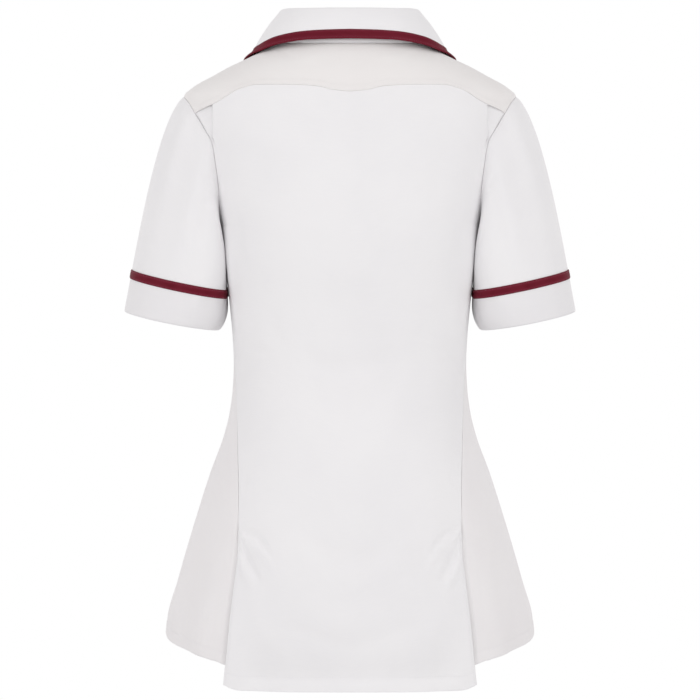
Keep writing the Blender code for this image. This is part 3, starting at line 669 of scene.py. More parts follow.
# %% A class for shader expressions
class Wire:
    """A socket of a material that can be used in a Python expression."""

    def __init__(self, tree, socket):
        self.tree = tree
        self.socket = socket

    def maths(self, operation, other=None, swapped=False):
        node = self.tree.nodes.new("ShaderNodeMath")
        node.operation = operation
        values = [self] if other is None else [other, self] if swapped else [self, other]
        for slot, value in zip(node.inputs, values):
            if isinstance(value, Wire):
                self.tree.links.new(value.socket, slot)
            else:
                slot.default_value = value
        return Wire(self.tree, node.outputs[0])

    def __add__(self, other):
        return self.maths("ADD", other)

    def __sub__(self, other):
        return self.maths("SUBTRACT", other)

    def __mul__(self, other):
        return self.maths("MULTIPLY", other)

    def __rsub__(self, other):
        return self.maths("SUBTRACT", other, swapped=True)

    def __truediv__(self, other):
        return self.maths("DIVIDE", other)

    __radd__ = __add__
    __rmul__ = __mul__


class Finish:
    """A material in the making: its node tree, its shader and one way to add a node."""

    def __init__(self, name, **constants):
        self.material = bpy.data.materials.new(name)
        self.material.use_nodes = True
        self.tree = self.material.node_tree
        self.shader = self.tree.nodes["Principled BSDF"]
        for socket, value in constants.items():
            self.shader.inputs[socket.replace("_", " ")].default_value = value

    def node(self, kind, settings=(), out=0, **inputs):
        """Add a node, set it up, then give its inputs their values or links."""
        node = self.tree.nodes.new("ShaderNode" + kind)
        for name, value in dict(settings).items():
            setattr(node, name, value)
        for name, value in inputs.items():
            slot = node.inputs[int(name[1:]) if name[1:].isdigit() else name.replace("_", " ")]
            if isinstance(value, Wire):
                self.tree.links.new(value.socket, slot)
            else:
                slot.default_value = value
        return Wire(self.tree, node.outputs[out])

    def uv(self, name):
        """A UV map, and its two coordinates on their own."""
        whole = self.node("UVMap", {"uv_map": name})
        across = self.node("SeparateXYZ", i0=whole)
        return whole, across, Wire(self.tree, across.socket.node.outputs[1])

    def noise(self, place, scale, detail, space="2D", **more):
        """Soft clouds of values round a half."""
        return self.node("TexNoise", {"noise_dimensions": space}, Vector=place, Scale=scale,
                         Detail=detail, **more)

    def mix(self, share, one, other):
        """A colour between two colours, each given as red, green and blue."""
        one, other = ((*c, 1) if isinstance(c, tuple) else c for c in (one, other))
        return self.node("Mix", {"data_type": "RGBA"}, out=2, i0=share, i6=one, i7=other)

    def feed(self, socket, wire):
        """Link a wire to one of the shader's own sockets."""
        self.tree.links.new(wire.socket, self.shader.inputs[socket])


# %% [markdown]
# ## The white cloth
# The tunic is a fine twill of polyester and cotton: flat, matt and very light, with a faint
# sheen from its fibres. Its diagonal ribs are far finer than a folded crease, so they are a
# bump pattern on the flat UV map and not geometry. A slow cloud of colour keeps large panels
# from looking like plastic, and the sewing map pulls small puckers towards each seam.

# %% Finish of the white cloth
TWILL_PITCH = 0.0009
THREAD_PITCH = 0.00045
PUCKER_REACH = 0.0035


def stripes(wire, pitch):
    """An even wave of values from -1 to 1, once in every pitch."""
    return (wire * (2 * math.pi / pitch)).maths("SINE")


def white_cloth(name, colour, shade):
    """Woven cloth: its colour, drawn towards the darker second tone in the slow clouds of its
    weave and within a few millimetres of each seam.
    """
    finish = Finish(name, Roughness=0.8, Sheen_Weight=0.18, Sheen_Roughness=0.5,
                    Specular_IOR_Level=0.25)
    flat, u, v = finish.uv("cloth")
    gap, place = finish.uv("sewing")[1:]
    cloud = finish.noise(flat, 9.0, 3.0)
    slub = finish.noise(finish.node("Mapping", i0=flat, Scale=(60.0, 900.0, 1.0)), 1.0, 2.0)
    near_seam = 1 - (gap / PUCKER_REACH).maths("MINIMUM", 1.0)
    worn = (cloud * 0.75 + slub * 0.25 - 0.36) * 2.2
    # Next to each seam the colour is also drawn towards the darker tone.
    finish.feed("Base Color", finish.mix(worn + near_seam * 0.25, colour, shade))
    finish.feed("Roughness", cloud * 0.10 + slub * 0.05 + 0.72)
    ribs = stripes(u + v * 0.8, TWILL_PITCH)
    crossing = stripes(u, THREAD_PITCH) * stripes(v, THREAD_PITCH)
    twill = ribs * 0.7 + crossing * 0.3
    weave = finish.node("Bump", Strength=0.25, Distance=0.00008, Height=twill + slub * 1.5)
    drawn_in = finish.node("CombineXYZ", i0=gap * 60.0, i1=place * 260.0)
    puckers = finish.noise(drawn_in, 1.0, 1.5)
    finish.feed("Normal", finish.node("Bump", Strength=0.35, Distance=0.0006,
                                      Height=puckers * near_seam - near_seam * 0.6, Normal=weave))
    return finish.material


def thread(name, colour):
    """Sewing thread: a little shinier than the cloth."""
    finish = Finish(name, Roughness=0.55, Sheen_Weight=0.2)
    grain = finish.noise(finish.node("TexCoord", out=3), 4000.0, 2.0, "3D")
    finish.feed("Base Color", finish.mix(grain, colour, tuple(c * 0.9 for c in colour)))
    return finish.material


cloth_white = white_cloth("white_twill", (0.87, 0.86, 0.87), (0.835, 0.825, 0.84))
# Painted shade: the yoke's copy of the same white twill is warmer and a little darker.
cloth_yoke_painted_shade = white_cloth("white_twill_yoke_painted_shade", (0.862, 0.84, 0.832), (0.84, 0.812, 0.804))
# Painted shade: the cuffs' copy of the same white twill is a little darker.
cloth_cuff_painted_shade = white_cloth("white_twill_cuffs_painted_shade", (0.84, 0.83, 0.84), (0.815, 0.80, 0.82))
# Painted shade: the fronts' copy of the same white twill is darker and pinker, as their sides lie
# in shade behind the back panel.
cloth_front_painted_shade = white_cloth("white_twill_fronts_painted_shade", (0.855, 0.835, 0.84), (0.83, 0.805, 0.815))
thread_white = thread("white_thread", (0.86, 0.85, 0.86))
thread_maroon = thread("maroon_thread", (0.12, 0.012, 0.022))
print("finishes:", len(bpy.data.materials))


# %% [markdown]
# ## One way to finish every sheet
# Each sheet goes through the same bench: its creases are pressed in, its rows of stitching
# are drawn on it, it becomes a mesh with a thickness, and the size that it was cut to is
# printed. A seam is given as two lists, the rows and the columns of the grid
# that it runs through, so a seam can never leave its sheet. A tape is made on the same bench
# and states the width that it is cut to, which is more than what shows.

# %% Make a sheet of cloth
UNSEWN = 1000.0
NO_CREASES = {}


def sewing_lines(points, normals, seams):
    """The seams as lines with normals, and how far each point of the sheet is from them."""
    sewing = np.full(points.shape[:2] + (2,), UNSEWN)
    lines = []
    for rows, columns in seams:
        line = sample(points, rows, columns)
        lines.append((line, sample(normals, rows, columns)))
        near, place = far_from(points, line)
        closer = near < sewing[..., 0]
        sewing[closer] = np.stack([near, place], axis=-1)[closer]
    return lines, sewing


def make_sheet(name, node, points, outward, finish, creases=NO_CREASES, seams=(), middle=None,
               thickness=CLOTH, offset=-1.0, ring=False, lift=0.0, held="hung",
               sewn_with=thread_white, slot="white_cloth", tape_cut=None, area_share=0.9995):
    """Make a finished sheet that stands for a node; give back its points and normals."""
    cut = flat_map(points, middle)
    area = sheet_area(points)
    normals = sheet_normals(points, outward)
    points = points + (crease_depth(cut, creases) + lift)[..., None] * normals
    if ring:
        points[:, -1] = points[:, 0]
    normals = sheet_normals(points, normals)
    lines, sewing = sewing_lines(points, normals, seams)
    mesh = sheet_mesh(name, points, cut, sewing, normals, ring)
    piece = add_piece(name, mesh, finish, node)
    solid = piece.modifiers.new("thickness", "SOLIDIFY")
    solid.thickness = thickness * MM
    solid.offset = offset
    solid.use_quality_normals = tape_cut is None
    if lines:
        stitch_rows(name + "_stitches", lines, sewn_with)
    width = np.ptp(cut[..., 0], axis=1).max() * MM
    length = tape_cut or cut[..., 1].max() * MM
    area = min(area * MM * MM, width * length) * area_share
    print("%s: %d x %d points, cut %.3f x %.4f m, %.4f m2"
          % (name, points.shape[0], points.shape[1], width, length, area))
    return points, normals


def mirror_grid(points):
    """The same grid on the wearer's other side."""
    return points[:, ::-1] * np.array([-1, 1, 1])


def both_halves(half):
    """A grid or line that starts in the middle, with its mirror image before it."""
    return np.concatenate([half[..., :0:-1, :] * np.array([-1, 1, 1]), half], axis=-2)


# %% [markdown]
# ## The back
# The back is one piece of cloth from the yoke to the hem. At each armhole it has an action
# pleat, cloth folded back under itself that opens when the arms reach forward, so its
# section is a real Z of three layers there. Below the pleat the panel narrows to the waist
# and runs out over the hips to open vents. It is computed as half a grid and mirrored.

# %% Shape the back
# The pleat's section: how far it runs out past the fold, how far under the face it lies,
# and where the same column lies when the pleat has closed.
PLEAT_SECTION = table("along under closed", [
    (-2.4, 0.0, -2.4), (-1.0, 0.02, -1.6), (0.0, 0.12, -0.8), (0.35, 0.75, -0.3),
    (0.0, 1.45, 0.1), (-2.2, 1.65, 0.5), (-5.0, 1.75, 0.9), (-5.6, 2.0, 1.3),
    (-5.0, 2.3, 1.7), (-1.0, 2.6, 2.1), (1.2, 2.9, 2.6),
])
PLEAT_REST = np.linspace(0.0, 1.0, 9)[1:]

# How deep the cloth past the pleat lies, by its share of the way to the armhole.
PLEAT_RECESS = ((0, 0.15, 0.5, 1), (0.85, 1.0, 0.65, 0.03))
PLEAT_OPENS_OVER = 14.0
BACK_LEVEL = 125.0
BACK_SEAM_GAP = 2.2
CORNER_RISES_OVER = 60.0
ARMHOLE_EDGE_DIP = 0.15


def back_half():
    """Angle, height and depth of the left half of the back, from the middle outwards."""
    flat = ladder(0.0, (0.97, 0.0178))
    seam_share = np.linspace(0, 1, 401)
    seam_across = section_point(YOKE["theta"](seam_share), YOKE["down"](seam_share))[:, 0]
    fold_share = np.interp(PLEAT_OUT, seam_across, seam_share)
    rest_share = fold_share + (1 - fold_share) * PLEAT_REST
    fold_count = len(PLEAT_SECTION["along"])
    shares = np.concatenate([flat * fold_share, np.full(fold_count, fold_share), rest_share])
    top_down = YOKE["down"](shares) - BACK_SEAM_GAP
    top_theta = YOKE["theta"](shares)
    top_across = section_point(top_theta, top_down)[:, 0]
    top_rows = ladder(0.0, (0.1, 0.02), (1.0, 0.043))
    levels = ladder(BACK_LEVEL, (560, 2.85), (590, 2.2), (721, 2.8), (728, 1.2),
                    (BACK_HEM_DOWN - 2, 2.3), (BACK_HEM_DOWN, 0.7))[1:]
    rows = [(share, BACK_LEVEL) for share in top_rows] + [(1.0, level) for level in levels]
    theta = np.zeros((len(rows), len(shares)))
    down = np.zeros_like(theta)
    fold, rest = len(flat), len(flat) + fold_count
    rest_theta = top_theta[rest:]
    rest_top = (top_theta[fold] - rest_theta) / (top_theta[fold] - rest_theta[-1])
    for i, (share, level) in enumerate(rows):
        down[i] = top_down * (1 - share) + level * share
        edge = panel_edge(down[i, -1], 1) + BACK_EDGE_DEG
        least = edge + PLEAT_MERGE_DEG + underarm_spread(down[i, -1])
        turn = max(theta_at(PLEAT_OUT, down[i, fold], 1), least)
        level_across = section_point(90 - (90 - turn) * flat, down[i, :fold])[:, 0]
        mixed = top_across[:fold] * (1 - share) + level_across * share
        theta[i, :fold] = theta_at(mixed, down[i, :fold], 1)
        pace = np.linalg.norm(section_point(turn + 0.5, down[i, fold])
                              - section_point(turn - 0.5, down[i, fold]))
        closed = smooth_step(PLEAT_END_DOWN, PLEAT_END_DOWN + PLEAT_CLOSE, down[i, fold])
        along = PLEAT_SECTION["along"] * (1 - closed) + PLEAT_SECTION["closed"] * closed
        theta[i, fold:rest] = turn - along / pace
        onward = rest_top * (1 - share) + PLEAT_REST * share
        theta[i, rest:] = theta[i, rest - 1] + (edge - theta[i, rest - 1]) * onward
    theta[:, 0] = 90
    out = np.zeros_like(theta)
    closing = 1 - smooth_step(PLEAT_END_DOWN, PLEAT_END_DOWN + PLEAT_CLOSE, down)
    out[:, fold:rest] = -PLEAT_SECTION["under"] * closing[:, fold:rest]
    from_yoke = 0.3 + 0.7 * smooth_step(0, PLEAT_OPENS_OVER, down[:, rest:] - top_down[rest:])
    recess = np.interp(PLEAT_REST, *PLEAT_RECESS)
    out[:, rest:] = -PLEAT_DEPTH * recess * from_yoke * closing[:, rest:]
    ease = VENT_EASE * smooth_step(VENT_TOP_DOWN, BACK_HEM_DOWN, down)
    out = out + ease * smooth_step(*VENT_EASE_DEG, theta)
    above_vent = 1 - smooth_step(VENT_TOP_DOWN - 10, VENT_TOP_DOWN, down[:, -1])
    low = smooth_step(BACK_HEM_DOWN - CORNER_RISES_OVER, BACK_HEM_DOWN, down)
    down = down - low * HEM_CORNER_RISE * smooth_step(*HEM_CORNER_DEG, theta[-1]) ** 3
    out[:, -1] -= ARMHOLE_EDGE_DIP * above_vent
    return theta, down, out


back_shape = back_half()
back_grid = both_halves(body(*back_shape))
back_outward = both_halves(body_normal(*back_shape[:2]))
print("back grid:", back_grid.shape)


# %% [markdown]
# ## The back's creases and hem
# The photographed back is nearly flat, and what makes it read as cloth is small: two short
# creases that run in from the top of each vent, a soft hollow at the waist, a smile-shaped
# drag across the seat, and the hem turned up behind a row of stitching. The hem band is
# raised a little, because the cloth is double there.

# %% Make the back
BACK_CREASES = table(CREASE_COLUMNS, both_sides([
    (128, 534, 102, 596, 3.8, -2.9, -2.0),
    (132, 541, 109, 603, 4.6, 1.7, -2.0),
    (127, 526, 90, 567, 4.2, -2.3, 3.0),
    (121, 543, 86, 582, 5.2, 1.4, 3.0),
    (129, 531, 118, 541, 2.2, 0.8, 0.0),
    (133, 478, 116, 470, 6.0, -0.9, 2.0),
    (148, 310, 96, 322, 11.0, -1.3, -4.0),
    (148, 352, 104, 338, 9.0, -1.1, 4.0),
    (62, 250, 40, 376, 16.0, -1.0, 6.0),
    (96, 262, 74, 318, 10.0, -0.8, -4.0),
    (122, 70, 96, 150, 15.0, -0.9, 6.0),
    (166, 108, 150, 288, 9.0, 2.9, 0.0),
    (138, 150, 124, 232, 8.0, -0.7, -5.0),
    (60, 540, 4, 556, 20.0, -1.2, 8.0),
    (112, 590, 92, 668, 14.0, 1.2, -5.0),
    (70, 606, 62, 676, 17.0, -1.1, 4.0),
]) + [
    (-60, 552, 60, 552, 19.0, -1.6, -16.0),
    (-54, 252, 54, 252, 24.0, -1.4, -8.0),
    (-50, 292, 50, 296, 18.0, 1.1, 9.0),
    (-34, 322, 38, 328, 15.0, -1.0, -6.0),
    (-36, 170, -24, 220, 14.0, -0.9, 4.0),
    (38, 168, 30, 224, 15.0, -0.8, -5.0),
    (-10, 20, 8, 118, 22.0, 0.7, 5.0),
    (-92, 640, 92, 642, 13.0, -1.5, -5.0),
    (-40, 600, 30, 606, 16.0, 1.0, 7.0),
])
HEM_HOLLOW = 4.6
HOLLOW_ABOVE, HOLLOW_BELOW = 23.0, 10.0
HOLLOW_ENDS = (134, 100)
VENT_STITCH_COLUMN = 4.2

across_back = flat_map(back_grid)[..., 0]
hem_line = BACK_HEM_DOWN - BACK_HEM_BAND
row_down = -back_grid[:, back_grid.shape[1] // 2, 2]
hem_row, vent_row = np.interp((hem_line, VENT_TOP_DOWN + 3), row_down, np.arange(len(row_down)))
all_columns = np.arange(back_grid.shape[1], dtype=float)
side_rows = np.arange(vent_row, back_grid.shape[0] - 1.5, 2.0)
above_hem = hem_line + back_grid[..., 2]
hem_depth = HEM_FOLD * smooth_step(HEM_FOLD_EASE, -HEM_FOLD_EASE, above_hem)
above_fold = above_hem + 1
hollow = np.exp(-(above_fold / np.where(above_fold > 0, HOLLOW_ABOVE, HOLLOW_BELOW)) ** 2)
hem_depth = hem_depth - HEM_HOLLOW * hollow * smooth_step(*HOLLOW_ENDS, np.abs(across_back))
back_seams = [(np.full(len(all_columns) - 10, hem_row), all_columns[5:-5])]
for column in (VENT_STITCH_COLUMN, all_columns[-1] - VENT_STITCH_COLUMN):
    back_seams.append((side_rows, np.full(len(side_rows), column)))
make_sheet("back_panel", "back", back_grid, back_outward, cloth_white, BACK_CREASES, back_seams,
           lift=hem_depth)


# %% [markdown]
# ## The yoke
# The yoke is a second, straight-grained layer over the shoulders. It laps the back by a
# seam allowance, is stitched down twice along its lower edge, and runs from the neck out to
# the armholes and over the shoulders to the fronts. Because it lies on top, its lower edge
# stands a little proud, and that edge is what draws the thin shadow line in the photograph.

# %% Make the yoke
YOKE_STANDS = 0.8
YOKE_STANDS_OVER = 9.0
YOKE_DIPS = 0.2
YOKE_DIPS_OVER = 1.3
YOKE_TOP_STITCHES = (1.6, 7.2)
YOKE_ARM_STITCHES = 6.0


def yoke_half():
    """Angle and height of the left half of the yoke, from the middle of the back outwards."""
    arm_turns = np.linspace(ARMHOLE_YOKE_BACK, ARMHOLE_YOKE_FRONT - 360, 34)
    seam_shares = ladder(0.0, (0.985, 0.0165))
    outer_theta = np.append(YOKE["theta"](seam_shares), SEAM["theta"](arm_turns))
    outer_down = np.append(YOKE["down"](seam_shares) + LAP, SEAM["down"](arm_turns))
    outer_down[len(seam_shares)] += LAP
    neck_arm = np.linspace(NECK_AT_YOKE_CORNER, NECK_AT_YOKE_FRONT, len(arm_turns))
    neck_turns = np.append(NECK_AT_YOKE_CORNER * seam_shares, neck_arm)
    share = ladder(0.0, (0.84, 0.034), (1.0, 0.0132))[:, None]
    theta = NECK["theta"](neck_turns) * (1 - share) + outer_theta * share
    down = NECK["down"](neck_turns) * (1 - share) + outer_down * share
    on_seam = np.append(np.ones(len(seam_shares)), np.zeros(len(arm_turns)))
    return theta, down, on_seam


yoke_theta, yoke_down, on_seam = yoke_half()
to_edge = lengths_along(body(yoke_theta, yoke_down), 0)
to_edge = to_edge[-1:] - to_edge
raised = YOKE_STANDS * np.exp(-(to_edge / YOKE_STANDS_OVER) ** 2) * on_seam
sunk = YOKE_DIPS * np.exp(-(to_edge / YOKE_DIPS_OVER) ** 2) * (1 - on_seam)
yoke_grid = both_halves(body(yoke_theta, yoke_down, raised - sunk))
yoke_outward = both_halves(body_normal(yoke_theta, yoke_down))
YOKE_CREASES = table(CREASE_COLUMNS, both_sides([
    (118, 22, 84, 30, 7.0, -0.7, 3.0),
    (92, 12, 66, 26, 6.0, -0.6, -2.0),
    (60, 30, 30, 22, 8.0, 0.5, 3.0),
]))
edge_gap = np.concatenate([to_edge[:, :0:-1], to_edge], axis=1)


def yoke_line(columns, gap):
    """A row of stitches this far from the yoke's edge, through some of its columns."""
    rows = [np.interp(-gap, -edge_gap[:, column], np.arange(len(edge_gap))) for column in columns]
    return np.array(rows), columns.astype(float)


last = yoke_grid.shape[1] - 1
columns = np.arange(last + 1)
seam_columns = np.flatnonzero(np.abs(columns - last / 2) < on_seam.sum() - 1)
arm_columns = np.arange(int(on_seam.sum()) + len(on_seam) + 1, last)
yoke_seams = [yoke_line(seam_columns, gap) for gap in YOKE_TOP_STITCHES]
yoke_seams += [yoke_line(side, YOKE_ARM_STITCHES) for side in (arm_columns, last - arm_columns)]
make_sheet("shoulder_yoke", "back_yoke", yoke_grid, yoke_outward, cloth_yoke_painted_shade, YOKE_CREASES,
           yoke_seams)


# %% [markdown]
# ## The fronts
# The back view hides the fronts except at the sides, where they come round the hips behind
# the vents. They are finished like the rest: bust darts from the side seams, waist darts,
# a buttoned edge with its facing stitched down, and a turned hem. The right front laps over
# the left one, so the left front's middle is set in by a step.

# %% Shape the fronts
FRONT_NECK = table("fraction turn", [
    (0.0, 180), (0.045, 173.5), (0.10, 165), (0.19, 150), (0.29, 135), (0.40, 119),
    (0.51, NECK_AT_YOKE_FRONT),
])
FRONT_CORNER = 0.51
FRONT_LEVEL = 140.0
FRONT_HEM_LEVEL = 675.0
FRONT_SEAM_GAP = 0.3
FLAP_SHARES = np.array([1.0, 0.96, 0.8, 0.6, 0.4, 0.2])
FLAP_EASE = 8
EDGE_DIPS = ((1, 0.4), (2, 0.15))
EDGE_DIPS_END = (-60, -10)
STEP_SHARES = np.linspace(0, 1, 9)[1:]
LAP_SHARES = np.linspace(0, 1, 14)[1:]


def front_top(fraction):
    """Angle and height of the top edge of a front, from the middle out to the armhole."""
    turn = np.interp(fraction, FRONT_NECK["fraction"], FRONT_NECK["turn"])
    share = np.clip((fraction - FRONT_CORNER) / (1 - FRONT_CORNER), 0, 1)
    theta = NECK["theta"](turn) * (1 - share) + SEAM["theta"](ARMHOLE_YOKE_FRONT) * share
    down = NECK["down"](turn) * (1 - share) + SEAM["down"](ARMHOLE_YOKE_FRONT) * share
    return theta - FRONT_EDGE_DEG * (share > 0), down + FRONT_SEAM_GAP


def near_vent(span, down):
    """An even ease between two heights that are counted from the top of the vent."""
    return smooth_step(VENT_TOP_DOWN + span[0], VENT_TOP_DOWN + span[1], down)


def front_rows():
    """Each row of a front: its share of the way from the top edge down to a level section,
    that level, and its share of the way on to the hem."""
    top = [(share, FRONT_LEVEL, 0.0) for share in ladder(0.0, (0.08, 0.02), (1.0, 0.034))]
    levels = ladder(FRONT_LEVEL, (555, 2.9), (600, 2.4), (FRONT_HEM_LEVEL, 2.9))[1:]
    hem = ladder(0.0, (0.86, 0.0555), (1.0, 0.04))[1:]
    return (top + [(1.0, level, 0.0) for level in levels]
            + [(1.0, FRONT_HEM_LEVEL, share) for share in hem])


def front_panel(rows):
    """Angle and height of the left front, from the middle out to where the vent steps in."""
    fraction = np.unique(np.append(ladder(0.0, (0.985, 0.0152), (1.0, 0.006)), FRONT_CORNER))
    top_theta, top_down = front_top(fraction)
    top_share = section_point(top_theta, top_down)[:, 0]
    top_share = top_share / top_share[-1]
    theta = np.zeros((len(rows), len(fraction)))
    down = np.zeros_like(theta)
    for i, (share, level, to_hem) in enumerate(rows):
        down[i] = top_down * (1 - share) + level * share
        hem_down = front_hem_down(-90 + (90 + side_theta(level) - VENT_DIP_DEG) * fraction)
        down[i] = down[i] * (1 - to_hem) + hem_down * to_hem
        edge = panel_edge(down[i, -1], -1) - FRONT_EDGE_DEG
        reach = edge - underarm_spread(down[i, -1]) * (fraction < 1)
        theta[i] = -90 + (90 + reach) * fraction
        if share < 1:
            across = section_point(theta[i], down[i])[:, 0]
            mixed = top_share * across[-1] * (1 - share) + across * share
            theta[i, :-1] = theta_at(mixed, down[i], -1)[:-1]
        narrows = near_vent(VENT_EDGE_NARROWS, down[i, -1])
        theta[i] = -90 + (theta[i] + 90) * (1 - narrows * VENT_DIP_DEG / (90 + edge))
    theta[0] = top_theta
    return theta, down


def front_half(under_step):
    """Angle, height and depth of the left front, from its flap past the middle to its
    underlap behind the vent. The last number counts the columns of the flap."""
    rows = front_rows()
    theta, down = front_panel(rows)
    side = down[:, -1]
    edge = panel_edge(side, -1) - FRONT_EDGE_DEG
    open_below = near_vent(VENT_EDGE_OPENS, side)
    under = UNDERLAP_DEG * near_vent(VENT_UNDERLAP_GROWS, side)
    seam_end = edge - SEAM_END_DEG * (1 - open_below) * near_vent(VENT_EDGE_NARROWS, side)
    steps_in = theta[:, -1:] + (seam_end - theta[:, -1])[:, None] * STEP_SHARES
    laps = seam_end[:, None] + (edge + under - seam_end)[:, None] * LAP_SHARES
    flap = OVERLAP * FLAP_SHARES
    past = np.stack([-180 - theta_at(reach, down[:, 0], -1) for reach in flap], axis=1)
    theta = np.concatenate([past, theta, steps_in, laps], axis=1)
    beyond = np.concatenate([steps_in, laps], axis=1)
    to_hem = np.array([row[2] for row in rows])[:, None]
    drop = to_hem * (front_hem_down(beyond) - front_hem_down(steps_in[:, :1]))
    down = np.concatenate([np.repeat(down[:, :1], len(flap), axis=1), down,
                           side[:, None] + drop], axis=1)
    set_in = np.zeros(theta.shape[1])
    set_in[:len(flap)] = 1
    set_in[len(flap):len(flap) + FLAP_EASE] = np.linspace(1, 0, FLAP_EASE)
    out = np.zeros_like(theta) - under_step * set_in
    inward = np.append(smooth_step(0.6, 1, STEP_SHARES), 1 + UNDERLAP_SINKS * LAP_SHARES)
    out[:, -len(inward):] -= VENT_STEP * inward * near_vent(VENT_STEPS_IN, side)[:, None]
    for column, dip in EDGE_DIPS:
        out[:, -column] -= dip * (1 - near_vent(EDGE_DIPS_END, side))
    return theta, down, out, len(flap)


FRONT_CREASES = table(CREASE_COLUMNS, [
    (138, 176, 92, 146, 3.2, -1.4, 2.0),
    (138, 166, 100, 128, 9.0, 0.9, -3.0),
    (84, 200, 80, 330, 3.0, -1.3, 2.0),
    (104, 190, 96, 300, 11.0, -1.2, 5.0),
    (128, 250, 60, 262, 10.0, -1.3, -5.0),
    (140, 290, 84, 276, 9.0, -1.0, 5.0),
    (60, 40, 96, 120, 12.0, -1.2, -6.0),
    (30, 60, 46, 128, 9.0, 0.9, 4.0),
    (120, 70, 96, 140, 8.0, -1.2, 5.0),
    (22, 250, 30, 350, 10.0, -1.1, 4.0),
    (46, 380, 56, 560, 15.0, -1.6, 6.0),
    (96, 400, 112, 590, 17.0, 1.7, -7.0),
    (132, 430, 150, 610, 14.0, -1.9, 6.0),
    (176, 470, 196, 600, 12.0, 1.5, -4.0),
    (206, 500, 214, 602, 9.0, -1.6, 3.0),
    (228, 540, 226, 610, 7.0, 0.4, 2.0),
])
FRONT_PUCKER = 0.22
EDGE_STITCHES = ((3.0, 3), (30.0, 12))
VENT_STITCH_INSET = 2.4


def make_front(name, node, under_step, mirror):
    """A finished front; the right one is made like the left one and then mirrored."""
    theta, down, out, middle = front_half(under_step)
    grid, outward = body(theta, down, out), body_normal(theta, down)
    height, width = grid.shape[:2]
    to_hem = lengths_along(grid, 0)
    to_hem = to_hem[-1:] - to_hem
    from_edge = lengths_along(grid, 1)
    lift = HEM_FOLD * smooth_step(FRONT_HEM_BAND + HEM_FOLD_EASE,
                                  FRONT_HEM_BAND - HEM_FOLD_EASE, to_hem)
    pucker = np.sin(from_edge / 5.2 + 2.1 * np.sin(from_edge / 23.0))
    lift = lift + FRONT_PUCKER * pucker * np.exp(-((to_hem - FRONT_HEM_BAND) / 5.0) ** 2)
    columns = np.arange(2.0, width - 3)
    seams = [(np.array([np.interp(-FRONT_HEM_BAND, -to_hem[:, int(column)], np.arange(height))
                        for column in columns]), columns)]
    for reach, first in EDGE_STITCHES:
        rows = np.arange(0, height, 2.0)[first:-6]
        seams.append((rows, np.array([np.interp(reach, from_edge[int(row)], np.arange(width))
                                      for row in rows])))
    vent = np.interp(VENT_TOP_DOWN + 14, -grid[:, -1, 2], np.arange(height))
    rows = np.arange(vent, height - 3.0, 2.0)
    seams.append((rows, np.full(len(rows), width - 1 - VENT_STITCH_INSET)))
    creases = dict(FRONT_CREASES)
    if mirror:
        grid, outward = mirror_grid(grid), mirror_grid(outward)
        lift, middle = lift[:, ::-1], width - 1 - middle
        seams = [(rows[::-1], width - 1 - columns[::-1]) for rows, columns in seams]
        for key in ("across_start", "across_end", "bend"):
            creases[key] = -creases[key]
        creases["depth"] = creases["depth"] * 0.9
        creases["down_start"] = creases["down_start"] + 6
    return make_sheet(name, node, grid, outward, cloth_front_painted_shade, creases, seams,
                      middle=middle, lift=lift)[0]


make_front("left_front", "front_left", UNDER_STEP, False)
right_points = make_front("right_front", "front_right", 0.0, True)


# %% [markdown]
# ## The sleeves and cuffs
# A set-in sleeve is a tube that starts at the armhole and hangs down the arm. Each of its
# lines leaves the seam in its own direction and ends at its own place on the hem, so the
# tube has the fullness of a real sleeve head and lies close under the arm. The cuff below
# the tape is a hem turned up double, and so it is a sheet of its own, a little thicker.

# %% Shape a sleeve
def arm_axes():
    """The sleeve's direction down the arm, and the sideways and backward ones across it."""
    out = math.radians(ARM_OUT_DEG)
    forward = math.radians(ARM_FORWARD_DEG)
    along = unit(np.array([math.tan(out), -math.tan(forward), -1.0]))
    outward = unit(np.array([1.0, 0, 0]) - along[0] * along)
    return along, outward, np.cross(outward, along)


def keep_off_body(points):
    """Move sleeve points outwards until, below the underarm, they are clear of the body."""
    down = -points[..., 2]
    width = SECTION["half_width"](down)
    depth = np.where(points[..., 1] > 0, SECTION["back"](down), SECTION["front"](down))
    power = SECTION["square"](down)
    share = np.clip(np.abs(points[..., 1]) / depth, 0, 1)
    side = width * (1 - share ** power) ** (1 / power)
    below = smooth_step(*SLEEVE_FREE_DOWN, down)
    least = side * below + SLEEVE_CLEAR
    gap = points[..., 0] - least
    moved = points.copy()
    moved[..., 0] = least + (gap + np.hypot(gap, 2 * SLEEVE_PUSH)) / 2
    return moved


def sleeve_points(turns, share):
    """Points of the left sleeve: share 0 is the armhole seam and 1 the hem."""
    turns = np.asarray(turns, float)
    share = np.asarray(share, float)
    start = section_point(SEAM["theta"](turns), SEAM["down"](turns))
    lead = unit(np.stack([SEAM["out"](turns), SEAM["back"](turns), SEAM["up"](turns)], axis=-1))
    along, outward, backward = arm_axes()
    angle = np.radians(turns)
    hem = (HEM_CENTRE + HEM_HALF_WIDTH * np.cos(angle)[..., None] * outward
           + HEM_HALF_DEPTH * np.sin(angle)[..., None] * backward)
    length = np.linalg.norm(hem - start, axis=-1)[..., None]
    t = share[..., None]
    taper = HEM_TAPER * (0.5 - 0.5 * np.cos(angle))[..., None] ** 2
    inward = -taper * (np.cos(angle)[..., None] * outward + np.sin(angle)[..., None] * backward)
    p = ((1 + 2 * t) * (1 - t) ** 2 * start + t * (1 - t) ** 2 * CAP_REACH * length * lead
         + t * t * (3 - 2 * t) * hem + t * t * (t - 1) * HEM_REACH * length * (along + inward))
    hug = SLEEVE_HUG * rise_and_fall(HUG_TURNS, turns) * rise_and_fall(HUG_SHARES, share)
    flat = EDGE_FLAT * rise_and_fall(FLAT_TURNS, turns) * rise_and_fall(FLAT_SHARES, share)
    return keep_off_body(p + np.stack([-hug, flat, 0 * hug], axis=-1))


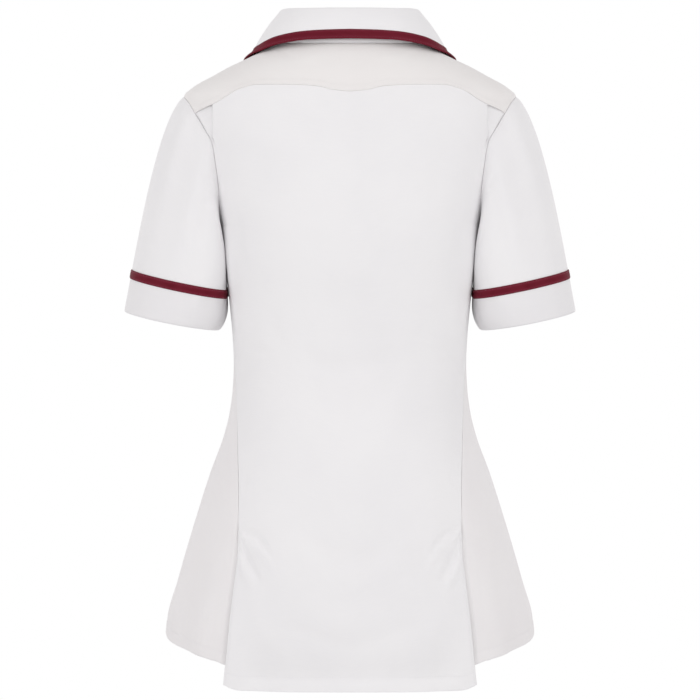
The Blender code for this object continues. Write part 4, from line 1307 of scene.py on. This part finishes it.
def sleeve_share(turns, above_hem):
    """Where on each sleeve line a ring at this distance above the hem lies."""
    shares = np.linspace(0, 1, 121)
    line = sleeve_points(turns[:, None] + 0 * shares, shares + 0 * turns[:, None])
    along = line @ arm_axes()[0]
    return np.array([np.interp(-above_hem, lane - lane[-1], shares) for lane in along])


SLEEVE_TURNS = np.linspace(0, 360, 133)
SLEEVE_MIDDLE = 33
SLEEVE_STEPS = ladder(0.0, (0.03, 0.0075), (1.0, 0.0148))
TRIM_TOP = CUFF_DEPTH + TRIM_WIDTH


def sleeve_rings(heights):
    """Rings of the sleeve at distances above the hem."""
    share = np.array([sleeve_share(SLEEVE_TURNS, height) for height in heights])
    return sleeve_points(SLEEVE_TURNS + 0 * share, share)


def tube(flip, grid):
    """A sleeve's rings and their outward directions, on the left or flipped to the right."""
    mirror = np.array([flip, 1, 1])
    return grid * mirror, (grid - grid.mean(axis=1, keepdims=True)) * mirror


# %% [markdown]
# ## The sleeve's creases
# Under the arm the cloth has more length than it needs, and it gathers into short drags
# that fan out from the underarm. The sleeve head is eased into the armhole, which leaves a
# row of very small puckers beside the seam. Turns are counted in degrees round the sleeve:
# 0 on the shoulder, 90 at the back and 180 under the arm.

# %% Make the sleeves and cuffs
def across_turn(turn):
    """Millimetres from the sleeve's middle column for a turn in degrees."""
    return (turn - 90.0) * 1.08


SLEEVE_CREASES = table(CREASE_COLUMNS, [
    (across_turn(start), y0, across_turn(end), y1, width, depth, bend)
    for start, y0, end, y1, width, depth, bend in (
        (128, 12, 84, 44, 4.5, -1.1, 3.0),
        (126, 22, 92, 62, 4.5, -0.9, 3.0),
        (124, 8, 96, 26, 3.6, 0.7, 2.0),
        (176, 22, 160, 66, 5.5, -1.0, 3.0),
        (100, 30, 112, 130, 13.0, -1.0, 5.0),
        (62, 40, 70, 170, 15.0, -0.9, -6.0),
        (36, 16, 48, 96, 12.0, 0.8, 4.0),
        (200, 10, 238, 52, 6.0, -1.5, -4.0),
        (194, 26, 232, 90, 6.5, -1.3, -3.0),
        (270, 30, 258, 140, 13.0, -1.2, 5.0),
        (300, 20, 310, 150, 14.0, -0.9, -5.0),
        (330, 30, 322, 110, 10.0, 0.8, 3.0))])
CUFF_CREASES = table(CREASE_COLUMNS, [
    (across_turn(128), 2, across_turn(122), 36, 8.0, -1.1, 1.0),
    (across_turn(150), 0, across_turn(146), 34, 6.0, 0.8, 1.0),
    (across_turn(40), 0, across_turn(46), 36, 12.0, -0.5, 1.0),
    (across_turn(262), 0, across_turn(256), 36, 9.0, -0.9, 1.0),
])
SIDES = (("left", 1), ("right", -1))
EASED = 0.2
SEAM_DRAWN_IN = 0.12
CUFF_TURNED_IN = 0.6


def make_sleeve(side, flip):
    """A sleeve from its armhole seam to just under its tape, with puckers at the seam."""
    share = sleeve_share(SLEEVE_TURNS, TRIM_TOP - 1.5) * SLEEVE_STEPS[:, None]
    grid = sleeve_points(SLEEVE_TURNS + 0 * share, share)
    from_seam = lengths_along(grid, 0)
    place = lengths_along(grid[:1], 1)
    from_shoulder = np.abs(SLEEVE_TURNS - 360 * (SLEEVE_TURNS > 180))
    eased = np.sin(place / 2.6 + 1.7 * np.sin(place / 19)) * smooth_step(160, 70, from_shoulder)
    eased = eased * np.exp(-((from_seam - 5) / 5.0) ** 2)
    make_sheet(side + "_sleeve", "sleeve_" + side, *tube(flip, grid), cloth_white,
               SLEEVE_CREASES, middle=SLEEVE_MIDDLE, ring=True,
               lift=EASED * eased - SEAM_DRAWN_IN * np.exp(-(from_seam / 0.9) ** 2))


def make_cuff(side, flip):
    """A cuff from just under its tape down to the hem, where its edge turns in."""
    heights = ladder(CUFF_DEPTH + 2.5, (2.4, 2.4), (0.0, 0.8))
    turned_in = CUFF_TURNED_IN * np.exp(-heights ** 2)[:, None] * np.ones(len(SLEEVE_TURNS))
    make_sheet(side + "_cuff", "cuff_" + side, *tube(flip, sleeve_rings(heights)), cloth_cuff_painted_shade,
               CUFF_CREASES, middle=SLEEVE_MIDDLE, ring=True, lift=-turned_in,
               thickness=CUFF_THICK)


for make in (make_sleeve, make_cuff):
    for side, flip in SIDES:
        make(side, flip)


# %% [markdown]
# ## Maroon tape
# The contrast tape is a ribbed ribbon folded lengthways, so both its long edges are rounded
# and its face is slightly domed. It is stitched down along both edges. Its dye is deep, and
# the ribs run across it, so the colour is steady and only the fold lines catch light: their
# rounded shape catches it, and a painted highlight makes the colour lighter near the stitching.

# %% Finish of the tape
RIB_PITCH = 0.00055
EDGE_HIGHLIGHT_REACH = 0.0022


def maroon_tape(name, colour, shade, edge):
    """Ribbed tape: its dye and the shade of its ribs, and a painted highlight along its folded
    edges.
    """
    finish = Finish(name, Roughness=0.66, Sheen_Weight=0.02, Sheen_Roughness=0.4,
                    Specular_IOR_Level=0.06, Sheen_Tint=(0.9, 0.3, 0.4, 1))
    flat, u, v = finish.uv("cloth")
    sewing = finish.uv("sewing")[1]
    cloud = finish.noise(flat, 60.0, 3.0)
    edge_highlight_share = 1 - (sewing / EDGE_HIGHLIGHT_REACH).maths("MINIMUM", 1.0)
    dyed = finish.mix(cloud * 1.6 - 0.3, colour, shade)
    # Painted highlight: the colour turns lighter near the rows of stitching along the folded
    # edges.
    finish.feed("Base Color", finish.mix(edge_highlight_share * 0.45, dyed, edge))
    finish.feed("Roughness", cloud * 0.15 + 0.55)
    ribs = stripes(u, RIB_PITCH) * 0.6 + stripes(v, RIB_PITCH * 1.5) * 0.4
    finish.feed("Normal", finish.node("Bump", Strength=0.4, Distance=0.00012,
                                      Height=ribs + cloud))
    return finish.material


# The third colour is the painted highlight at the tape's folded edges.
tape_finish = maroon_tape("maroon_tape_weave", (0.155, 0.013, 0.026), (0.125, 0.009, 0.019),
                          (0.24, 0.028, 0.055))


# %% [markdown]
# ## A tape laid along a path
# A tape is a strip of grid like any sheet: its columns follow the path and its rows cross
# from one edge of the tape to the other. The cross-section is a table, so the same helper
# makes the flat tape on the sleeves and the binding that wraps the collar's edge.

# %% Lay the tapes on the sleeves
TAPE_SECTION = table("share out", [
    (-0.02, 0.05), (-0.005, 0.5), (0.035, 0.95), (0.14, 1.15), (0.32, 1.25), (0.5, 1.3),
    (0.68, 1.25), (0.86, 1.15), (0.965, 0.95), (1.005, 0.5), (1.02, 0.05),
])


SLEEVE_TAPE_CUT = 0.0125


def make_tape(name, node, grid, outward, rows, tape_cut, **more):
    """A tape from a grid of points: rows cross it, columns follow its path. It is sewn down
    along two of its rows."""
    ends = 0 if more.get("ring") else 1
    columns = np.arange(float(ends), grid.shape[1] - ends)
    seams = [(np.full(len(columns), row), columns) for row in rows]
    make_sheet(name, node, grid, outward, tape_finish, seams=seams, middle=0,
               thickness=TAPE_THICK, sewn_with=thread_maroon, slot="maroon_tape",
               tape_cut=tape_cut, **more)


for side, flip in SIDES:
    rings = sleeve_rings(TRIM_TOP - TAPE_SECTION["share"] * TRIM_WIDTH)
    rings, outward = tube(flip, rings)
    grid = rings + TAPE_SECTION["out"][:, None, None] * sheet_normals(rings, outward)
    grid[:, -1] = grid[:, 0]
    make_tape(side + "_sleeve_tape", "sleeve_trim_" + side, grid, outward, (3.0, 7.0),
              SLEEVE_TAPE_CUT, ring=True, held="stretched", area_share=1.0)


# %% [markdown]
# ## The collar
# A turn-down collar is a stand that rises from the neck seam and a leaf that falls back over
# it. They are one sheet here: rows go up the stand, round a small roll and down the leaf to
# its edge. The leaf is stiffened with interlining on the real tunic, so it has few creases,
# a crisp edge and rounded points, and it is thicker than the body's cloth.

# %% Shape the collar
def clear_of_body(points, gap):
    """Move collar points straight away from the neck until they lie this far off the body."""
    down = np.clip(-points[..., 2], 0, None)
    width = SECTION["half_width"](down)
    behind = points[..., 1] > 0
    depth = np.where(behind, SECTION["back"](down), SECTION["front"](down))
    depth = depth + np.where(behind, 0, bust(points[..., 0], down))
    power = SECTION["square"](down)
    across, along = np.abs(points[..., 0]) / width, np.abs(points[..., 1]) / depth
    reach = np.maximum(across ** power + along ** power, 1e-6) ** (1 / power)
    radius = np.hypot(points[..., 0], points[..., 1])
    sloping = 1 - smooth_step(SHOULDER_TIP_DOWN, SHOULDER_TIP_DOWN + SLOPE_EASE, down)
    away = gap * (1 + (SHOULDER_SLOPE - 1) * sloping)
    short = np.where(points[..., 2] < 0, radius / reach + away - radius, 0)
    grow = 1 + np.clip(short, 0, None) / np.maximum(radius, 1)
    return points * np.stack([grow, grow, np.ones_like(grow)], axis=-1)


STAND_ROWS = 10
ROLL_ROWS = 7
LEAF_ROWS = 22


def collar_half():
    """Middle layer of the left half of the collar, from its seam over the fold to its edge."""
    turns = np.linspace(0, COLLAR_END_TURN, 104)
    level = np.array([1, 1, 0])
    up = np.array([0, 0, 1.0])
    seam = body(NECK["theta"](turns), NECK["down"](turns), 0.3 + 0 * turns)
    ahead = section_point(NECK["theta"](turns + 1), NECK["down"](turns + 1))
    behind = section_point(NECK["theta"](turns - 1), NECK["down"](turns - 1))
    tangent = unit((ahead - behind) * level)
    away = np.stack([-tangent[:, 1], tangent[:, 0], 0 * turns], axis=-1)
    away *= np.sign(np.sum(away * seam * level, axis=-1))[:, None]
    cut = {name: COLLAR_CUT[name](turns)[:, None] for name in COLLAR_CUT}
    fold = seam + cut["lean"] * away + cut["stand"] * up
    edge = np.concatenate([cut["across"], cut["back"], -cut["down"]], axis=1)
    roll = np.minimum(ROLL_RADIUS, cut["stand"] * 0.3)
    top = fold - roll * up
    rows = [seam + (top - seam) * share for share in np.linspace(0, 1, STAND_ROWS)]
    end = fold + roll * (1.9 * away - 0.9 * up)
    for share in np.linspace(0, 1, ROLL_ROWS + 2)[1:-1]:
        arc = math.pi * share
        bow = roll * 0.95 * math.sin(arc)
        rows.append(top * (1 - share) + end * share + bow * up)
    for share in np.linspace(0, 1, LEAF_ROWS):
        belly = COLLAR_BELLY * math.sin(math.pi * share) * (away * 0.6 + up * 0.5)
        rows.append(end * (1 - share) + edge * share + belly)
    leaf = STAND_ROWS + ROLL_ROWS
    rows[leaf:] = [clear_of_body(row, COLLAR_CLEAR + COLLAR_THICK / 2) for row in rows[leaf:]]
    return np.array(rows)


collar_grid = both_halves(collar_half())
print("collar grid:", collar_grid.shape)


# %% [markdown]
# ## The collar and its binding
# The maroon tape is folded over the collar's edge, so its section goes round that edge: in
# along the leaf's face and back along its underside. Each of its columns sits square on the
# edge of the leaf, and it turns a sharp corner at the collar's points.

# %% Make the collar and its binding
# These directions point out of the leaf, and so towards the neck on the stand.
collar_outside = -np.cross(np.gradient(collar_grid, axis=0), np.gradient(collar_grid, axis=1))
leaf_row = STAND_ROWS + ROLL_ROWS
leaf_last = collar_grid.shape[0] - 1
collar_columns = np.arange(2.0, collar_grid.shape[1] - 2)
collar_seams = [(np.full(len(collar_columns), 1.0), collar_columns)]
COLLAR_CREASES = table(CREASE_COLUMNS, both_sides([
    (120, 50, 90, 84, 9.0, 0.6, 3.0),
    (60, 62, 34, 92, 10.0, -0.5, 3.0),
]))
collar_points, collar_normals = make_sheet(
    "turned_collar", "collar", collar_grid, collar_outside, cloth_white, COLLAR_CREASES,
    collar_seams, thickness=COLLAR_THICK, offset=0.0)

# The binding's section: how far in from the edge of the leaf, and how far off its middle.
BINDING_SECTION = table("inset out", [
    (9.4, 0.75), (9.1, 1.15), (8.0, 1.32), (5.0, 1.38), (2.0, 1.34), (0.6, 1.2),
    (-0.45, 0.75), (-0.8, 0.0), (-0.45, -0.75), (0.6, -1.2), (4.0, -1.32), (8.0, -1.25),
    (8.9, -0.9),
])
BINDING_CUT = 0.0225
FOLDED_SHARE = 0.97


def binding_grid():
    """The binding along the leaf's outer edge and up both of its ends."""
    last = collar_points.shape[1] - 1
    middle = last / 2
    leaf = collar_points[leaf_row:]
    leaf_length = lengths_along(leaf, 0)[-1]
    edge_step = lengths_along(collar_points[-1:], 1)[0]
    top_row = leaf_row + 1.0
    edge_part = np.linspace(0, 1, 100)
    end_part = np.linspace(0, 1, 26)[1:]
    grid, facing = [], []
    for inset, out in zip(*BINDING_SECTION.values()):
        reach = max(inset, 0.0)
        last_column = np.interp(edge_step[-1] - reach, edge_step, np.arange(last + 1))
        columns = middle + (last_column - middle) * edge_part
        mm = np.interp(columns, np.arange(last + 1), leaf_length)
        rows = leaf_last - reach / mm * (LEAF_ROWS - 1)
        end_rows = rows[-1] + (top_row - rows[-1]) * end_part
        end_columns = np.full(len(end_part), last_column)
        path = np.append(rows, end_rows), np.append(columns, end_columns)
        points = sample(collar_points, *path)
        normals = unit(sample(collar_normals, *path))
        if inset < 0:
            inner = sample(collar_points, np.append(rows - 1.5, end_rows),
                           np.append(columns, end_columns - 1.5))
            inner[len(rows) - 1] = sample(collar_points, rows[-1] - 1.5, last_column - 1.5)
            points = points + unit(points - inner) * -inset
        grid.append(points + out * normals)
        facing.append(normals * np.sign(out + 0.01))
    return np.array(grid), np.array(facing)


binding_points, binding_outward = (both_halves(half) for half in binding_grid())
make_tape("collar_binding", "collar_trim", binding_points, binding_outward, (2.0, 4.6),
          BINDING_CUT, held="folded", area_share=FOLDED_SHARE)


# %% [markdown]
# ## Buttons and buttonholes
# The fronts close with five plain four-hole buttons. A button is turned: its profile has a
# rounded rim and a dished middle, and it is spun round its axis. The four holes are cut with
# a Boolean, and thread crosses them. Each buttonhole is an upright slit in the right front,
# under its button, and shows as two short rows of stitches.

# %% Make the buttons
BUTTON_PROFILE = ((0.0, 0.42), (2.6, 0.42), (4.4, 0.5), (5.2, 0.85), (5.9, 1.25), (6.8, 1.45),
                  (7.7, 1.4), (8.3, 1.1), (8.5, 0.72), (8.3, 0.35), (7.7, 0.12), (6.4, 0.0),
                  (0.0, 0.0))
HOLE_RADIUS = 0.95
HOLE_APART = 1.75
STANDS_OFF = 0.45
SLIT_HALF_LENGTH = 10.5
SLIT_SIDES = (-0.8, 0.8)


def button_finish():
    """Moulded resin with a soft swirl, glossier than the cloth."""
    finish = Finish("pearl_resin", Roughness=0.28, Coat_Weight=0.35, Coat_Roughness=0.15)
    swirl = finish.noise(finish.node("TexCoord", out=3), 160.0, 2.0, "3D", Distortion=1.4)
    finish.feed("Base Color", finish.mix(swirl, (0.83, 0.82, 0.81), (0.76, 0.75, 0.75)))
    finish.feed("Roughness", swirl * 0.15 + 0.22)
    return finish.material


def moved(across, along, height):
    """A matrix that moves a shape by millimetres."""
    return Matrix.Translation((across * MM, along * MM, height * MM))


def button_mesh(name):
    """A turned button with four holes, lying flat with its back at height 0."""
    turned = bmesh.new()
    line = [turned.verts.new((radius * MM, 0, height * MM)) for radius, height in BUTTON_PROFILE]
    edges = [turned.edges.new(pair) for pair in zip(line, line[1:])]
    bmesh.ops.spin(turned, geom=line + edges, cent=(0, 0, 0), axis=(0, 0, 1),
                   angle=2 * math.pi, steps=48, use_merge=True)
    bmesh.ops.remove_doubles(turned, verts=turned.verts[:], dist=SAME_PLACE)
    bmesh.ops.recalc_face_normals(turned, faces=turned.faces[:])
    drill = bmesh.new()
    for x in (-HOLE_APART, HOLE_APART):
        for y in (-HOLE_APART, HOLE_APART):
            bmesh.ops.create_cone(drill, cap_ends=True, segments=16, radius1=HOLE_RADIUS * MM,
                                  radius2=HOLE_RADIUS * MM, depth=4 * MM, matrix=moved(x, y, 0.3))
    blank = link(name + "_blank", as_mesh(name, turned))
    cutter = link(name + "_drill", as_mesh(name + "_holes", drill))
    cut = blank.modifiers.new("holes", "BOOLEAN")
    cut.operation = "DIFFERENCE"
    cut.solver = "EXACT"
    cut.object = cutter
    graph = bpy.context.evaluated_depsgraph_get()
    made = bpy.data.meshes.new_from_object(blank.evaluated_get(graph))
    for thing in (cutter, blank):
        bpy.data.objects.remove(thing)
    return made


def sew_on(number, place):
    """The threads that cross a button's holes, and the short shank under it."""
    sewn = bmesh.new()
    size = Matrix.Diagonal((HOLE_APART * 1.25 * MM, 0.42 * MM, 0.3 * MM, 1))
    for x, y, turn in ((-1, 0, 90), (1, 0, 90), (0, -1, 0), (0, 1, 0)):
        lie = moved(x * HOLE_APART, y * HOLE_APART, 0.55)
        turned = Matrix.Rotation(math.radians(turn), 4, "Z")
        bmesh.ops.create_uvsphere(sewn, u_segments=10, v_segments=6, radius=1,
                                  matrix=place @ lie @ turned @ size)
    bmesh.ops.create_cone(sewn, cap_ends=True, segments=14, radius1=2.0 * MM, radius2=1.7 * MM,
                          depth=1.7 * MM, matrix=place @ moved(0, 0, -0.6))
    name = "button_thread_%d" % number
    threads = as_mesh(name, sewn)
    threads.shade_smooth()
    add_piece(name, threads, thread_white)


pearl = button_finish()
button_shape = button_mesh("button")
button_shape.materials.clear()
holes = []
for number, button_down in enumerate(BUTTON_DOWNS, 1):
    seat = body(-90.0, button_down)
    up = body_normal(-90.0, button_down)
    side = np.array([1.0, 0, 0])
    axes = np.stack([side, unit(np.cross(up, side)), up], axis=1)
    near = right_points.reshape(-1, 3) - seat
    under = near[np.linalg.norm(near, axis=1) < BUTTON_RADIUS + 1]
    lift = (under @ up).max() + STANDS_OFF
    place = moved(*(seat + up * lift)) @ Matrix(axes.tolist()).to_4x4()
    shape = button_shape.copy()
    shape.transform(place)
    shape.shade_smooth()
    shape.set_sharp_from_angle(angle=math.radians(40))
    add_piece("front_button_%d" % number, shape, pearl, "button_%d" % number)
    sew_on(number, place)
    for aside in SLIT_SIDES:
        slit = seat + up * (lift - 0.42) + side * aside
        slit = slit + axes[:, 1] * np.linspace(-SLIT_HALF_LENGTH, SLIT_HALF_LENGTH, 8)[:, None]
        holes.append((slit, np.tile(up, (len(slit), 1))))
stitch_rows("buttonhole_stitches", holes, thread_white)
print("buttons:", len(BUTTON_DOWNS))


# %% [markdown]
# ## Floor, light and background
# The photograph is a catalogue picture: a white ground, wide soft lights from both sides of
# the camera and above, and hardly any shadow. The floor is a plain pale plane some way under
# the hem. The lights stand in pairs, so front and back are lit alike and no side is black.

# %% Floor and lights
FLOOR_DOWN = 1.25
TUNIC_MIDDLE = Vector((0, 0, -0.357))
# Each soft box: its name, where it stands in metres, its width and its power in watts.
SOFT_BOXES = (
    ("key_back_left", (3.1, 2.0, 0.7), 1.8, 25),
    ("key_back_right", (-3.1, 2.0, 0.7), 1.8, 25),
    ("top_back", (0, 2.3, 1.9), 1.6, 10),
    ("near_camera", (0, 3.7, 0.1), 1.3, 14),
    ("fill_front_left", (2.2, -2.9, 0.8), 1.8, 22),
    ("fill_front_right", (-2.2, -2.9, 0.8), 1.8, 22),
)
floor_shape = bmesh.new()
bmesh.ops.create_grid(floor_shape, x_segments=1, y_segments=1, size=3.0,
                      matrix=Matrix.Translation((0, 0, -FLOOR_DOWN)))
floor = link("studio_floor", as_mesh("studio_floor", floor_shape))
pale = Finish("pale_floor", Roughness=0.9, Base_Color=(0.86, 0.86, 0.86, 1))
floor.data.materials.append(pale.material)

# What the camera sees round the tunic is plain white, and what lights the cloth is softer.
world = bpy.data.worlds.new("studio_white")
bpy.context.scene.world = world
world.use_nodes = True
tree = world.node_tree
ground = tree.nodes["Background"]
ambient = tree.nodes.new("ShaderNodeBackground")
for background, colour, strength in ((ground, (1, 1, 1, 1), 1.0),
                                     (ambient, (1.0, 0.985, 0.985, 1), 0.57)):
    background.inputs["Color"].default_value = colour
    background.inputs["Strength"].default_value = strength
path = tree.nodes.new("ShaderNodeLightPath")
blend = tree.nodes.new("ShaderNodeMixShader")
tree.links.new(path.outputs["Is Camera Ray"], blend.inputs[0])
tree.links.new(ambient.outputs[0], blend.inputs[1])
tree.links.new(ground.outputs[0], blend.inputs[2])
tree.links.new(blend.outputs[0], tree.nodes["World Output"].inputs["Surface"])

for name, place, size, power in SOFT_BOXES:
    light = bpy.data.lights.new(name, "AREA")
    light.shape = "SQUARE"
    light.size = size
    light.energy = power
    lamp = link(name, light)
    lamp.location = place
    lamp.rotation_euler = (TUNIC_MIDDLE - Vector(place)).to_track_quat("-Z", "Y").to_euler()
bpy.context.scene.view_settings.view_transform = "Standard"
bpy.context.scene.view_settings.look = "None"
print("soft boxes:", len(SOFT_BOXES))


# %% [markdown]
# ## The camera
# The photograph looks straight at the middle of the back from about three and a half metres,
# with a long lens and no tilt. The picture is square, so the same angle holds both ways, and
# it follows from the size that the frame covers at the tunic's middle.

# %% Camera
CAMERA_AWAY = 3.5
FRAME_HEIGHT = 0.812
lens = bpy.data.cameras.new("catalogue_camera")
lens.sensor_width = 36.0
lens.lens = lens.sensor_width / 2 * CAMERA_AWAY / (FRAME_HEIGHT / 2)
lens.clip_start = 0.1
lens.clip_end = 50
camera = link("catalogue_camera", lens)
camera.location = (0, CAMERA_AWAY, TUNIC_MIDDLE.z)
camera.rotation_euler = (math.pi / 2, 0, math.pi)
bpy.context.scene.camera = camera
print("lens %.1f mm" % lens.lens)

# %% Finish
bpy.context.view_layer.update()
